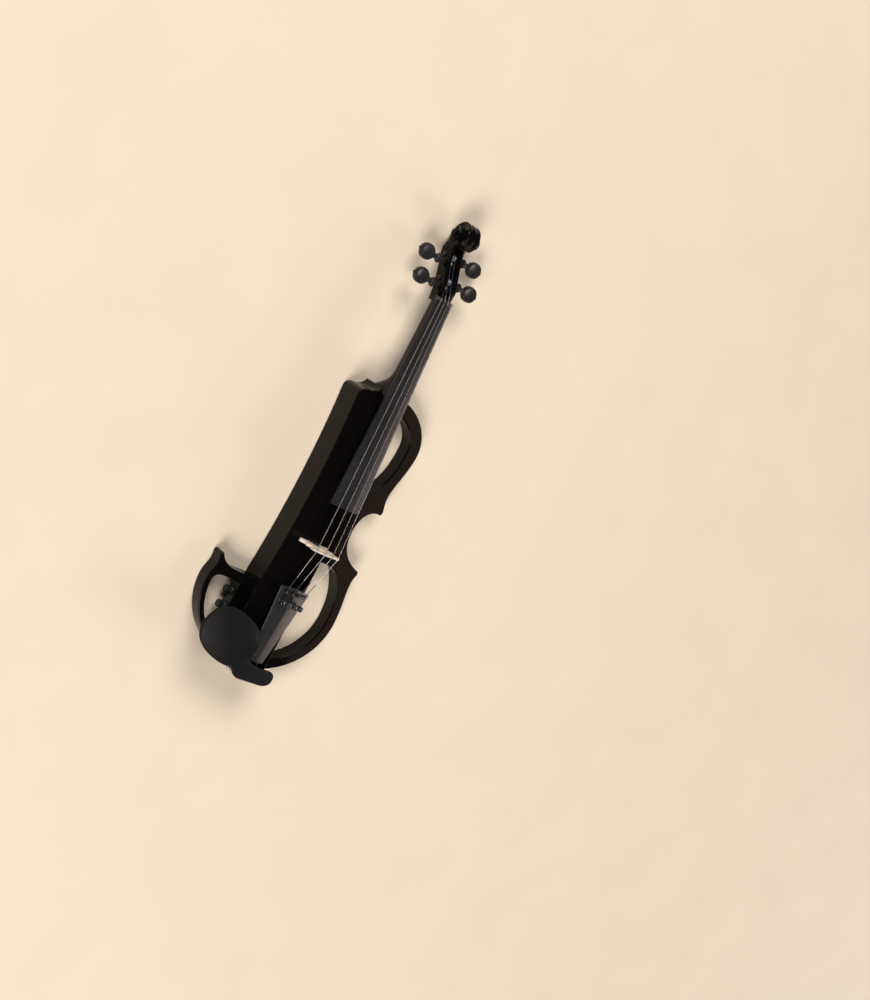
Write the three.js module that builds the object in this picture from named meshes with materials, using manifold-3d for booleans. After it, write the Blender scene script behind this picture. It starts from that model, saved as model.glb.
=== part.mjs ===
// Electric violin with a narrow solid core and open bout frames, lying on its flat back.
// Millimetres. +X treble side, +Y towards the scroll, +Z out of the playing side.
// The origin is on the back plane, under the middle of the bridge.
import * as THREE from 'three';
import Module from 'manifold-3d';
import { mergeVertices } from 'three/addons/utils/BufferGeometryUtils.js';

const wasm = await Module();
wasm.setup();

// Fits shared by the whole instrument
const SEAM = 0.3;
const CUT_OVERRUN = 4;
const WELD = 0.0001;
const EDGE_ROUND = 1.6;
const ROUND_STEPS = 1;

// Body levels
const CORE_DEPTH = 40;
const FRAME_DEPTH = 22;

// Core outline
const CORE_RIGHT = 24;
const CORE_SHOULDER = 43;
const CORE_WAIST = 35;
const CORE_HIP = 42;
const HEEL_END_Y = 207;
const SHOULDER_DROP = 11;
const HIP_Y = -62;

// Deck beside the core, at the level of the frames
const DECK_LEFT = 52;
const DECK_TOP_Y = -68;

// Bout frames
const UPPER_BOUT = 91;
const UPPER_BOUT_DROP = 59;
const UPPER_CORNER = 85;
const UPPER_CORNER_Y = 66;
const WAIST = 57;
const WAIST_Y = 30;
const LOWER_CORNER = 95;
const LOWER_CORNER_Y = -17;
const LOWER_BOUT = 99;
const LOWER_BOUT_Y = -88;
const TAIL_Y = -177;
const UPPER_BAND = 17.5;
const LOWER_BAND = 13;
const BASS_BAND = 7.5;
const CORNER_WIDTH = 5;
const UPPER_HOLE_END_Y = 76;
const LOWER_HOLE_TOP_Y = -20;
const LEFT_CORNER = 96;
const LEFT_CORNER_Y = -55;
const ARM_WIDTH = 11;

// Strings
const STRING_NAMES = ['g', 'd', 'a', 'e'];
const STRING_RADII = { g: 0.42, d: 0.4, a: 0.36, e: 0.3 };
const STRING_LENGTH = 328;
const NUT_SPREAD = 16.5;
const BRIDGE_SPREAD = 34;
const TAIL_SPREAD = 27;
const STRING_REST = 0.25;

// Fingerboard and neck
const BOARD_LENGTH_SHARE = 0.8232;
const BOARD_NUT_WIDTH = 24;
const BOARD_END_WIDTH = 42;
const BOARD_SIDE = 5;
const BOARD_RADIUS = 42;
const BOARD_NUT_Z = 48.5;
const BOARD_END_Z = 66.5;
const NECK_DEPTH_NUT = 13.5;
const NECK_DEPTH_HEEL = 15.5;
const HEEL_RISE = 26;
const HEEL_FLOOR = 1.5;
const NECK_ROOT_LENGTH = 20;
const TENON_WIDTH = 18;
const TENON_LENGTH = 26;
const TENON_LOW = 14;
const TENON_HIGH = 34;

// Nut
const NUT_THICK = 5.5;
const NUT_ABOVE = 1.2;

// Pegbox and scroll
const PEGBOX_LENGTH = 66;
const PEGBOX_TOP_WIDTH = 20;
const PEGBOX_CAVITY = 13.5;
const PEGBOX_FLOOR = 4;
const PEG_SPACING = 14.5;
const PEG_FIRST = 17;
const PEG_FIRST_DROP = 14.5;
const PEG_LINE_FALL = 7;
const PEG_TO_RIM = 11;
const SCROLL_REACH = 10.5;
const SCROLL_Z = 24.5;
const SCROLL_RADIUS = 22;
const SCROLL_WIDTHS = [16, 25, 34];
const SCROLL_EYE_WIDTH = 41;
const SCROLL_EYE_RADIUS = 5;

// Tuning pegs
const PEG_SHAFT_RADIUS = 3.7;
const PEG_TIP_RADIUS = 3.1;
const PEG_CLEARANCE = 0.25;
const PEG_TIP_OUT = 2;
const PEG_COLLAR_RADIUS = 6;
const PEG_COLLAR_LENGTH = 3.4;
const PEG_STEM_RADIUS = 3.4;
const PEG_STEM_LENGTH = 6;
const PEG_HEAD_LENGTH = 21;
const PEG_HEAD_WIDTH = 20;
const PEG_HEAD_THICK = 8;
const PEG_PIP_RADIUS = 1.7;
const PEG_COLLAR_GAP = 7;
const WINDING_WALL = 0.9;
const WINDING_LENGTH = 6;
const WINDING_SHARES = { g: -0.5, e: 0.5, d: -0.37, a: 0.37 };

// Bridge and pickup
const BRIDGE_TOP_Z = 81.5;
const BRIDGE_FOOT_SPAN = 42;
const BRIDGE_FOOT_THICK = 4.6;
const BRIDGE_TOP_THICK = 1.6;
const BRIDGE_RADIUS = 42;
const BRIDGE_TREBLE_DROP = 1.8;
const BRIDGE_CROWN_HALF = 20.5;
const PICKUP_LENGTH = 44;
const PICKUP_WIDTH = 6;
const PICKUP_THICK = 1.6;

// Tailpiece, its gut, the saddle and the end button
const TAIL_GUT_SPAN = 10.4;
const TAILPIECE_LENGTH = 103;
const TAILPIECE_WIDE = 43;
const TAILPIECE_NARROW = 21;
const TAILPIECE_THICK = 5;
const TAILPIECE_WIDE_Z = 53;
const TAILPIECE_NARROW_Z = 45;
const TAILPIECE_CROWN = 4.5;
const GUT_RADIUS = 1.1;
const GUT_SPREAD = 6;
const SADDLE_WIDTH = 34;
const SADDLE_THICK = 6;
const SADDLE_HEIGHT = 4;
const BUTTON_Z = 22;
const BUTTON_SHAFT_RADIUS = 3.8;
const BUTTON_HEAD_RADIUS = 6.6;
const BUTTON_HEAD_LENGTH = 9;
const BUTTON_SHAFT_LENGTH = 18;

// Fine tuners
const TUNER_SLOT_WIDTH = 3.4;
const TUNER_LEVER_WIDTH = 2.4;
const TUNER_LEVER_THICK = 2;
const TUNER_REACH = 15;
const TUNER_HOOK_RISE = 3.4;
const TUNER_SCREW_RADIUS = 1.2;
const TUNER_KNOB_RADIUS = 3.6;
const TUNER_KNOB_HEIGHT = 5;
const TUNER_KNOB_LIFT = 4;

// Chin rest and its clamp
const CHIN_X = -53;
const CHIN_Y = -137.5;
const CHIN_HALF_X = 43.5;
const CHIN_HALF_Y = 32;
const CHIN_TURN = -0.35;
const CHIN_RIM_Z = 57;
const CHIN_BOWL = 7;
const CHIN_THICK = 5.5;
const CHIN_ARM_RIGHT = 33;
const CHIN_ARM_LOW_Y = -184.5;
const CHIN_ARM_WIDTH = 24;
const CHIN_ARM_THICK = 5.5;
const CLAMP_SPREAD = 34;
const CLAMP_GAP = 1.2;
const CLAMP_ROD_RADIUS = 1.5;
const CLAMP_BARREL_RADIUS = 3;
const CLAMP_BARREL_LENGTH = 22;
const CLAMP_BARREL_LOW = 12;
const CLAMP_FOOT_THICK = 2.4;
const CLAMP_FOOT_LOW = 0.8;
const CLAMP_FOOT_GRIP = 14;
const CLAMP_CORK = 2;

// Electronics
const COVER_X = [-48, -14];
const COVER_Y = [-148, -78];
const COVER_THICK = 2.2;
const COVER_LEDGE = 3;
const CHAMBER_HEIGHT = 18;
const PANEL_CLEAR = 3;
const PANEL_Z = [2, 20];
const PANEL_THICK = 1.5;
const CONTROL_Z = 11;
const CONTROL_SHARES = { volume: 0.8, tone: 0.48, switch: 0.2 };
const KNOB_RADIUS = 6;
const KNOB_LENGTH = 10;
const POT_RADIUS = 3;
const POT_BODY_RADIUS = 6.5;
const POT_BODY_LENGTH = 6;
const POT_SHAFT_RADIUS = 1.8;
const SWITCH_LENGTH = 9;
const SWITCH_WIDTH = 4;
const SWITCH_DEPTH = 5;
const SWITCH_NUB = 3;
const SWITCH_TRAVEL = 3;
const JACK_Z = 29;
const OUTPUT_JACK_Y = -58;
const OUTPUT_JACK_RADIUS = 5.5;
const OUTPUT_JACK_BORE = 3.3;
const OUTPUT_JACK_LENGTH = 32;
const PHONES_JACK_Y = -78;
const PHONES_JACK_RADIUS = 3.6;
const PHONES_JACK_BORE = 1.8;
const PHONES_JACK_LENGTH = 16;
const JACK_FLANGE = 1.8;
const JACK_NUT_RADIUS_SHARE = 1.45;
const BOARD_PCB = [26, 44, 1.6];
const PCB_Z = 12;
const PCB_POST = 2;

// Battery and its drawer
const BATTERY = [26.5, 48.5, 17.5];
const DRAWER_WALL = 1.6;
const DRAWER_Z = 9.5;
const DRAWER_JACK_GAP = 5;
const DRAWER_FACE_LIP = 2.6;
const DRAWER_FACE_THICK = 2;

// Screws of the back cover
const SCREW_HEAD_RADIUS = 2.4;
const SCREW_HEAD_HEIGHT = 1.3;
const SCREW_SHANK_RADIUS = 1.1;
const SCREW_LENGTH = 8;
const SCREW_INSET = 3.4;

// Finishes
const FINISH = {
  gloss: new THREE.MeshStandardMaterial({ color: 0x0b0b0d, roughness: 0.12, metalness: 0 }),
  ebony: new THREE.MeshStandardMaterial({ color: 0x222228, roughness: 0.42, metalness: 0 }),
  maple: new THREE.MeshStandardMaterial({ color: 0xe8d5bd, roughness: 0.55, metalness: 0 }),
  plastic: new THREE.MeshStandardMaterial({ color: 0x1c1c20, roughness: 0.5, metalness: 0 }),
  steel: new THREE.MeshStandardMaterial({ color: 0xb9b9bd, roughness: 0.28, metalness: 1 }),
  nickel: new THREE.MeshStandardMaterial({ color: 0x9a9a9e, roughness: 0.2, metalness: 1 }),
  brass: new THREE.MeshStandardMaterial({ color: 0xb08d4a, roughness: 0.35, metalness: 1 }),
  cork: new THREE.MeshStandardMaterial({ color: 0xb48a5c, roughness: 0.9, metalness: 0 }),
  board: new THREE.MeshStandardMaterial({ color: 0x1f4a2c, roughness: 0.45, metalness: 0 }),
  battery: new THREE.MeshStandardMaterial({ color: 0x3a3d44, roughness: 0.35, metalness: 0.5 }),
};

const violin = new THREE.Group();

// Solids

/** Turns a closed geometry into a solid that can be joined and cut. */
function solid(geometry) {
  const bare = geometry.clone();
  bare.deleteAttribute('normal');
  bare.deleteAttribute('uv');
  const welded = mergeVertices(bare, WELD);
  return new wasm.Manifold(new wasm.Mesh({
    numProp: 3,
    vertProperties: new Float32Array(welded.attributes.position.array),
    triVerts: new Uint32Array(welded.index.array),
  }));
}

/** Turns a solid back into a geometry. */
function shell(body) {
  const mesh = body.getMesh();
  const geometry = new THREE.BufferGeometry();
  geometry.setAttribute('position', new THREE.BufferAttribute(new Float32Array(mesh.vertProperties), 3));
  geometry.setIndex(new THREE.BufferAttribute(new Uint32Array(mesh.triVerts), 1));
  geometry.computeVertexNormals();
  return geometry;
}

/** Adds one named piece to the violin. */
function piece(name, finish, form) {
  const geometry = form.isBufferGeometry ? form : shell(form);
  const mesh = new THREE.Mesh(geometry, FINISH[finish].clone());
  mesh.name = name;
  violin.add(mesh);
}

/** Joins solids into one. */
function join(...bodies) {
  return bodies.reduce((whole, body) => whole.add(body));
}

/** A block between two corners. */
function block(low, high) {
  const size = high.map((value, i) => value - low[i]);
  const middle = high.map((value, i) => (value + low[i]) / 2);
  return solid(new THREE.BoxGeometry(...size).translate(...middle));
}

/** A prism of an outline in the X-Y plane, with rounded top and bottom edges where round is given. */
function slab(outline, low, high, round = 0) {
  const shape = new THREE.Shape(outline);
  const geometry = new THREE.ExtrudeGeometry(shape, {
    depth: high - low - 2 * round,
    bevelEnabled: round > 0,
    bevelThickness: round,
    bevelSize: round,
    bevelOffset: -round,
    bevelSegments: ROUND_STEPS,
    curveSegments: 1,
  });
  return solid(geometry.translate(0, 0, low + round));
}

/** A prism of an outline drawn in Y and Z, centred on X and of the given width. */
function sideSlab(outline, width, round = 0) {
  const flat = outline.map((p) => new THREE.Vector2(p.x, p.y));
  const geometry = new THREE.ExtrudeGeometry(new THREE.Shape(flat), {
    depth: width - 2 * round,
    bevelEnabled: round > 0,
    bevelThickness: round,
    bevelSize: round,
    bevelOffset: -round,
    bevelSegments: ROUND_STEPS,
    curveSegments: 1,
  });
  geometry.translate(0, 0, round - width / 2);
  const turn = new THREE.Matrix4().makeBasis(
    new THREE.Vector3(0, 1, 0), new THREE.Vector3(0, 0, 1), new THREE.Vector3(1, 0, 0));
  return solid(geometry.applyMatrix4(turn));
}

/** A round bar from one point to another. */
function rod(from, to, radius, sides = 8, endRadius = radius) {
  const a = new THREE.Vector3(...from);
  const b = new THREE.Vector3(...to);
  const way = b.clone().sub(a);
  const geometry = new THREE.CylinderGeometry(endRadius, radius, way.length(), sides);
  geometry.translate(0, way.length() / 2, 0);
  const turn = new THREE.Quaternion().setFromUnitVectors(new THREE.Vector3(0, 1, 0), way.normalize());
  geometry.applyQuaternion(turn);
  return solid(geometry.translate(a.x, a.y, a.z));
}

/** A turned form: pairs of radius and distance along an axis that starts at a point. */
function turned(profile, start, direction, sides = 16) {
  const points = profile.map(([radius, along]) => new THREE.Vector2(radius, along));
  const geometry = new THREE.LatheGeometry(points, sides);
  const way = new THREE.Vector3(...direction).normalize();
  const turn = new THREE.Quaternion().setFromUnitVectors(new THREE.Vector3(0, 1, 0), way);
  geometry.applyQuaternion(turn);
  return solid(geometry.translate(...start));
}

/** A closed skin through rings of equal count, capped at both ends. */
function loft(rings) {
  const count = rings[0].length;
  const positions = rings.flat().flat();
  const middle = (ring) => [0, 1, 2].map((i) => ring.reduce((sum, p) => sum + p[i], 0) / count);
  positions.push(...middle(rings[0]), ...middle(rings.at(-1)));
  const first = rings.length * count;
  const index = [];
  for (let r = 0; r < rings.length - 1; r += 1) {
    for (let i = 0; i < count; i += 1) {
      const a = r * count + i;
      const b = r * count + ((i + 1) % count);
      index.push(a, b, a + count, b, b + count, a + count);
    }
  }
  const last = (rings.length - 1) * count;
  for (let i = 0; i < count; i += 1) {
    const next = (i + 1) % count;
    index.push(first, next, i);
    index.push(first + 1, last + i, last + next);
  }
  const geometry = new THREE.BufferGeometry();
  geometry.setAttribute('position', new THREE.Float32BufferAttribute(positions, 3));
  geometry.setIndex(index);
  const body = solid(geometry);
  if (body.volume() > 0) {
    return body;
  }
  return loft(rings.map((ring) => [...ring].reverse()));
}

/** A cord of round section through a row of points. */
function cord(points, radius, sides = 6) {
  const spots = points.map((point) => new THREE.Vector3(...point));
  let across = new THREE.Vector3();
  const rings = spots.map((spot, i) => {
    const way = spots[Math.min(i + 1, spots.length - 1)].clone().sub(spots[Math.max(i - 1, 0)]).normalize();
    if (i === 0) {
      const side = Math.abs(way.x) < 0.9 ? new THREE.Vector3(1, 0, 0) : new THREE.Vector3(0, 1, 0);
      across = side;
    }
    across = across.clone().addScaledVector(way, -across.dot(way)).normalize();
    const up = way.clone().cross(across);
    return Array.from({ length: sides }, (_, k) => {
      const angle = (2 * Math.PI * k) / sides;
      return spot.clone().addScaledVector(across, radius * Math.cos(angle))
        .addScaledVector(up, radius * Math.sin(angle)).toArray();
    });
  });
  return loft(rings);
}

const at = (x, y) => new THREE.Vector2(x, y);

/** Points along a cubic curve, without its first point. */
function bend(from, one, two, to, steps = 8) {
  return new THREE.CubicBezierCurve(from, one, two, to).getPoints(steps).slice(1);
}

/** Points of the lower bout's oval between two X places, from the treble side to the bass side. */
function oval(inset, fromX, toX, steps) {
  const a = LOWER_BOUT - inset;
  const b = LOWER_BOUT_Y - TAIL_Y - inset;
  const start = Math.acos(fromX / a);
  const end = Math.acos(toX / a);
  return Array.from({ length: steps + 1 }, (_, i) => {
    const angle = start + ((end - start) * i) / steps;
    return at(a * Math.cos(angle), LOWER_BOUT_Y - b * Math.sin(angle));
  });
}

// Places on the fingerboard's plane
const boardLength = STRING_LENGTH * BOARD_LENGTH_SHARE;
const boardShare = (y) => (STRING_LENGTH - y) / boardLength;
const boardZ = (y) => BOARD_NUT_Z + (BOARD_END_Z - BOARD_NUT_Z) * boardShare(y);
const boardHalf = (y) => (BOARD_NUT_WIDTH + (BOARD_END_WIDTH - BOARD_NUT_WIDTH) * boardShare(y)) / 2;
const boardDrop = (x) => BOARD_RADIUS - Math.sqrt(BOARD_RADIUS ** 2 - x ** 2);
const stringShare = (name) => STRING_NAMES.indexOf(name) / (STRING_NAMES.length - 1) - 0.5;

/** Height of the bridge's top edge at an X place. */
function bridgeTop(x) {
  const drop = BRIDGE_RADIUS - Math.sqrt(BRIDGE_RADIUS ** 2 - x ** 2);
  return BRIDGE_TOP_Z - drop - (BRIDGE_TREBLE_DROP * x) / BRIDGE_SPREAD;
}

// Core and deck
const shoulderY = HEEL_END_Y - SHOULDER_DROP;
const upperBoutY = HEEL_END_Y - UPPER_BOUT_DROP;
const coreOutline = [
  at(CORE_RIGHT, shoulderY),
  at(CORE_RIGHT, HEEL_END_Y - 2 * EDGE_ROUND),
  at(CORE_RIGHT - 4 * EDGE_ROUND, HEEL_END_Y),
  at(-boardHalf(HEEL_END_Y), HEEL_END_Y),
  ...bend(at(-boardHalf(HEEL_END_Y), HEEL_END_Y), at(-CORE_SHOULDER * 0.5, shoulderY),
    at(-CORE_SHOULDER * 0.72, shoulderY + EDGE_ROUND), at(-CORE_SHOULDER * 0.84, shoulderY), 5),
  ...bend(at(-CORE_SHOULDER * 0.84, shoulderY), at(-CORE_SHOULDER * 0.96, shoulderY - EDGE_ROUND),
    at(-CORE_SHOULDER, shoulderY * 0.98), at(-CORE_SHOULDER, shoulderY * 0.95), 4),
  ...bend(at(-CORE_SHOULDER, shoulderY * 0.95), at(-CORE_WAIST, shoulderY * 0.56),
    at(-CORE_WAIST, shoulderY * 0.06), at(-CORE_HIP, HIP_Y), 10),
  ...oval(0, CORE_RIGHT, -CORE_HIP, 7).reverse(),
];
const deckOutline = [
  at(CORE_RIGHT - EDGE_ROUND, DECK_TOP_Y),
  at(-DECK_LEFT, DECK_TOP_Y),
  ...oval(0, CORE_RIGHT - EDGE_ROUND, -DECK_LEFT, 10).reverse(),
];

// Electronics chamber, jack bores and battery bay
const coverLow = [COVER_X[0], COVER_Y[0]];
const coverHigh = [COVER_X[1], COVER_Y[1]];
const drawerSize = BATTERY.map((size) => size + 2 * (DRAWER_WALL + SEAM));
const phonesFlange = PHONES_JACK_RADIUS * JACK_NUT_RADIUS_SHARE;
const drawerTopY = PHONES_JACK_Y - phonesFlange - DRAWER_JACK_GAP - DRAWER_FACE_LIP;
const drawerY = [drawerTopY - drawerSize[1], drawerTopY];
const drawerX = [CORE_RIGHT - drawerSize[0], CORE_RIGHT];
const drawerZ = [DRAWER_Z, DRAWER_Z + DRAWER_WALL + BATTERY[2] + SEAM];
const screwPlaces = [0, 1].flatMap((i) => [0, 1].map((j) => [
  COVER_X[i] + (i ? -SCREW_INSET : SCREW_INSET),
  COVER_Y[j] + (j ? -SCREW_INSET : SCREW_INSET),
]));
const tailFace = (x) => oval(0, x, x, 1)[0].y;
const panelFace = -DECK_LEFT - PANEL_THICK;
const bandY = oval(LOWER_BAND, panelFace, panelFace, 1)[0].y;
const panelY = [bandY + PANEL_CLEAR, DECK_TOP_Y - ARM_WIDTH - PANEL_CLEAR];
const controlY = (name) => THREE.MathUtils.lerp(...panelY, CONTROL_SHARES[name]);
const switchY = [controlY('switch') - SWITCH_LENGTH / 2, controlY('switch') + SWITCH_LENGTH / 2];
const switchHalf = SWITCH_WIDTH / 2;
const footRelief = CLAMP_FOOT_LOW + CLAMP_FOOT_THICK + CLAMP_CORK + SEAM;

let core = slab(coreOutline, 0, CORE_DEPTH, EDGE_ROUND).add(slab(deckOutline, 0, FRAME_DEPTH, EDGE_ROUND));
core = core.subtract(block([...coverLow.map((v) => v - SEAM), -CUT_OVERRUN],
  [...coverHigh.map((v) => v + SEAM), COVER_THICK + SEAM]));
core = core.subtract(block([COVER_X[0] + COVER_LEDGE * 0.3, COVER_Y[0] + 2 * COVER_LEDGE, 0],
  [COVER_X[1] - COVER_LEDGE, COVER_Y[1] - 2 * COVER_LEDGE, CHAMBER_HEIGHT]));
core = core.subtract(block([drawerX[0] - SEAM, drawerY[0] - SEAM, drawerZ[0] - SEAM],
  [drawerX[1] + CUT_OVERRUN, drawerY[1] + SEAM, drawerZ[1] + SEAM]));
for (const [y, radius, length] of [[OUTPUT_JACK_Y, OUTPUT_JACK_RADIUS, OUTPUT_JACK_LENGTH],
  [PHONES_JACK_Y, PHONES_JACK_RADIUS, PHONES_JACK_LENGTH]]) {
  core = core.subtract(rod([CORE_RIGHT - length - SEAM, y, JACK_Z], [CORE_RIGHT + CUT_OVERRUN, y, JACK_Z],
    radius + SEAM, 12));
}
for (const y of ['volume', 'tone'].map(controlY)) {
  core = core.subtract(rod([-DECK_LEFT - CUT_OVERRUN, y, CONTROL_Z],
    [COVER_X[0] + CUT_OVERRUN, y, CONTROL_Z], POT_RADIUS + SEAM, 12));
}
core = core.subtract(block(
  [-DECK_LEFT - CUT_OVERRUN, switchY[0] - SEAM, CONTROL_Z - switchHalf - SEAM],
  [-DECK_LEFT + SWITCH_DEPTH + SEAM, switchY[1] + SEAM, CONTROL_Z + switchHalf + SEAM]));
core = core.subtract(block([-TENON_WIDTH / 2 - SEAM, HEEL_END_Y - TENON_LENGTH - SEAM, TENON_LOW - SEAM],
  [TENON_WIDTH / 2 + SEAM, HEEL_END_Y + CUT_OVERRUN, TENON_HIGH + SEAM]));
core = core.subtract(block([-CLAMP_SPREAD * 0.8, TAIL_Y - CUT_OVERRUN, -CUT_OVERRUN],
  [CLAMP_SPREAD * 0.8, tailFace(0) + CLAMP_FOOT_GRIP + SEAM, footRelief]));
core = core.subtract(rod([0, TAIL_Y - CUT_OVERRUN, BUTTON_Z],
  [0, TAIL_Y + BUTTON_SHAFT_LENGTH + SEAM, BUTTON_Z], BUTTON_SHAFT_RADIUS + SEAM, 12));
for (const [x, y] of screwPlaces) {
  core = core.subtract(rod([x, y, 0], [x, y, SCREW_LENGTH + SEAM], SCREW_SHANK_RADIUS + SEAM, 8));
}
const saddleY = TAIL_Y + SADDLE_THICK + EDGE_ROUND;
core = core.subtract(block(
  [-SADDLE_WIDTH / 2 - SEAM, saddleY - SADDLE_THICK * 2, CORE_DEPTH - SADDLE_HEIGHT - SEAM],
  [SADDLE_WIDTH / 2 + SEAM, saddleY + SEAM, CORE_DEPTH + CUT_OVERRUN]));
piece('body_core', 'gloss', core);

// Treble frame: upper bout, corners, waist and lower bout in one ring
const coreEdge = CORE_RIGHT + SEAM;
const upperInner = UPPER_BOUT - UPPER_BAND;
const upperHole = [
  at(coreEdge, UPPER_HOLE_END_Y),
  ...bend(at(coreEdge, UPPER_HOLE_END_Y), at(WAIST * 0.9, UPPER_HOLE_END_Y),
    at(upperInner * 0.86, UPPER_HOLE_END_Y * 1.2), at(upperInner * 0.95, UPPER_HOLE_END_Y * 1.5), 6),
  ...bend(at(upperInner * 0.95, UPPER_HOLE_END_Y * 1.5), at(upperInner, upperBoutY * 0.85),
    at(upperInner, upperBoutY * 0.95), at(upperInner, upperBoutY), 4),
  ...bend(at(upperInner, upperBoutY), at(upperInner, upperBoutY * 1.17),
    at(upperInner * 0.62, HEEL_END_Y - UPPER_BAND * 1.2), at(coreEdge, HEEL_END_Y - UPPER_BAND * 1.1), 8),
];
const lowerHole = [
  ...oval(LOWER_BAND, LOWER_BOUT - LOWER_BAND, coreEdge, 12).reverse(),
  ...bend(at(LOWER_BOUT - LOWER_BAND, LOWER_BOUT_Y), at(LOWER_BOUT - LOWER_BAND, LOWER_BOUT_Y * 0.7),
    at(LOWER_BOUT * 0.78, LOWER_BOUT_Y * 0.5), at(LOWER_BOUT * 0.68, LOWER_BOUT_Y * 0.34), 6),
  ...bend(at(LOWER_BOUT * 0.68, LOWER_BOUT_Y * 0.34), at(LOWER_BOUT * 0.62, LOWER_HOLE_TOP_Y),
    at(WAIST * 0.9, LOWER_HOLE_TOP_Y), at(coreEdge, LOWER_HOLE_TOP_Y), 5),
];
const trebleOutline = [
  at(coreEdge, HEEL_END_Y - 2 * EDGE_ROUND),
  ...bend(at(coreEdge, HEEL_END_Y - 2 * EDGE_ROUND), at(UPPER_BOUT * 0.58, HEEL_END_Y - EDGE_ROUND),
    at(UPPER_BOUT, upperBoutY * 1.24), at(UPPER_BOUT, upperBoutY), 10),
  ...bend(at(UPPER_BOUT, upperBoutY), at(UPPER_BOUT, upperBoutY * 0.82),
    at(UPPER_CORNER * 0.92, UPPER_CORNER_Y * 1.5), at(UPPER_CORNER * 0.96, UPPER_CORNER_Y * 1.22), 7),
  at(UPPER_CORNER, UPPER_CORNER_Y + CORNER_WIDTH * 0.3),
  at(UPPER_CORNER - CORNER_WIDTH * 0.4, UPPER_CORNER_Y - CORNER_WIDTH * 0.7),
  ...bend(at(UPPER_CORNER - CORNER_WIDTH * 0.4, UPPER_CORNER_Y - CORNER_WIDTH * 0.7),
    at(WAIST * 1.2, UPPER_CORNER_Y * 0.98), at(WAIST, UPPER_CORNER_Y * 0.78), at(WAIST, WAIST_Y), 8),
  ...bend(at(WAIST, WAIST_Y), at(WAIST, WAIST_Y * 0.22),
    at(LOWER_CORNER * 0.76, LOWER_CORNER_Y * 0.5),
    at(LOWER_CORNER - CORNER_WIDTH * 0.4, LOWER_CORNER_Y + CORNER_WIDTH * 0.7), 8),
  at(LOWER_CORNER, LOWER_CORNER_Y - CORNER_WIDTH * 0.3),
  ...bend(at(LOWER_CORNER, LOWER_CORNER_Y - CORNER_WIDTH * 0.3),
    at(LOWER_CORNER * 0.92, LOWER_CORNER_Y * 1.9),
    at(LOWER_BOUT, LOWER_BOUT_Y * 0.66), at(LOWER_BOUT, LOWER_BOUT_Y), 8),
  ...oval(0, LOWER_BOUT, coreEdge, 14).slice(1),
  ...lowerHole,
  ...upperHole,
];
piece('treble_frame', 'gloss', slab(trebleOutline, 0, FRAME_DEPTH, EDGE_ROUND));

// Bass frame: an arm, one corner and the lower bout
const deckEdge = -DECK_LEFT - SEAM;
const bassOutline = [
  at(deckEdge, DECK_TOP_Y),
  ...bend(at(deckEdge, DECK_TOP_Y), at(-LEFT_CORNER * 0.84, DECK_TOP_Y),
    at(-LEFT_CORNER * 0.9, LEFT_CORNER_Y * 1.14),
    at(-LEFT_CORNER + CORNER_WIDTH * 0.7, LEFT_CORNER_Y + CORNER_WIDTH * 0.4), 6),
  at(-LEFT_CORNER, LEFT_CORNER_Y - CORNER_WIDTH * 0.5),
  ...bend(at(-LEFT_CORNER, LEFT_CORNER_Y - CORNER_WIDTH * 0.5), at(-LEFT_CORNER * 0.96, LEFT_CORNER_Y * 1.3),
    at(-LOWER_BOUT, LEFT_CORNER_Y * 1.4), at(-LOWER_BOUT, LOWER_BOUT_Y), 5),
  ...oval(0, deckEdge, -LOWER_BOUT, 9).reverse().slice(1),
  ...oval(BASS_BAND, deckEdge, -LOWER_BOUT + BASS_BAND, 8),
  ...bend(at(-LOWER_BOUT + BASS_BAND, LOWER_BOUT_Y),
    at(-LOWER_BOUT + BASS_BAND, DECK_TOP_Y - ARM_WIDTH * 1.2),
    at(-LOWER_BOUT * 0.87, DECK_TOP_Y - ARM_WIDTH), at(-LOWER_BOUT * 0.78, DECK_TOP_Y - ARM_WIDTH), 5),
  at(deckEdge, DECK_TOP_Y - ARM_WIDTH),
];
piece('bass_frame', 'gloss', slab(bassOutline, 0, FRAME_DEPTH, EDGE_ROUND));

// Neck, heel, pegbox and scroll
const neckTop = (y) => boardZ(y) - BOARD_SIDE - SEAM;

/** A neck section at a distance, flat on top and round below. */
function neckRing(y, depth, half, sides = 14) {
  const top = neckTop(y);
  return Array.from({ length: sides + 1 }, (_, i) => {
    const angle = (Math.PI * i) / sides;
    const share = Math.sin(angle) ** 0.8;
    return [half * Math.cos(angle), y, top - depth * share];
  });
}

const heelY = HEEL_END_Y + SEAM;
const heelDepth = neckTop(heelY) - HEEL_FLOOR;
const neckRings = [
  neckRing(STRING_LENGTH + NUT_THICK, NECK_DEPTH_NUT, BOARD_NUT_WIDTH / 2 - SEAM),
  neckRing(STRING_LENGTH - NUT_THICK * 2, NECK_DEPTH_NUT, boardHalf(STRING_LENGTH) - SEAM),
  neckRing(heelY + HEEL_RISE * 1.4, NECK_DEPTH_HEEL, boardHalf(heelY + HEEL_RISE * 1.4) - SEAM),
  ...[1, 0.72, 0.46, 0.24, 0.08, 0].map((share) => {
    const y = heelY + HEEL_RISE * share;
    const depth = NECK_DEPTH_HEEL + (heelDepth - NECK_DEPTH_HEEL) * (1 - share) ** 2.2;
    return neckRing(y, depth, boardHalf(y) - SEAM);
  }),
];
const pegY = (place) => STRING_LENGTH + PEG_FIRST + PEG_SPACING * place;
const pegZ = (place) => BOARD_NUT_Z - PEG_FIRST_DROP - PEG_LINE_FALL * place;
const pegboxEnd = STRING_LENGTH + NUT_THICK + PEGBOX_LENGTH;
const scrollY = pegboxEnd + SCROLL_REACH;
const pegboxRim = [pegY(0), pegY(3)].map((y, i) => at(y, pegZ(i * 3) + PEG_TO_RIM));
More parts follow.
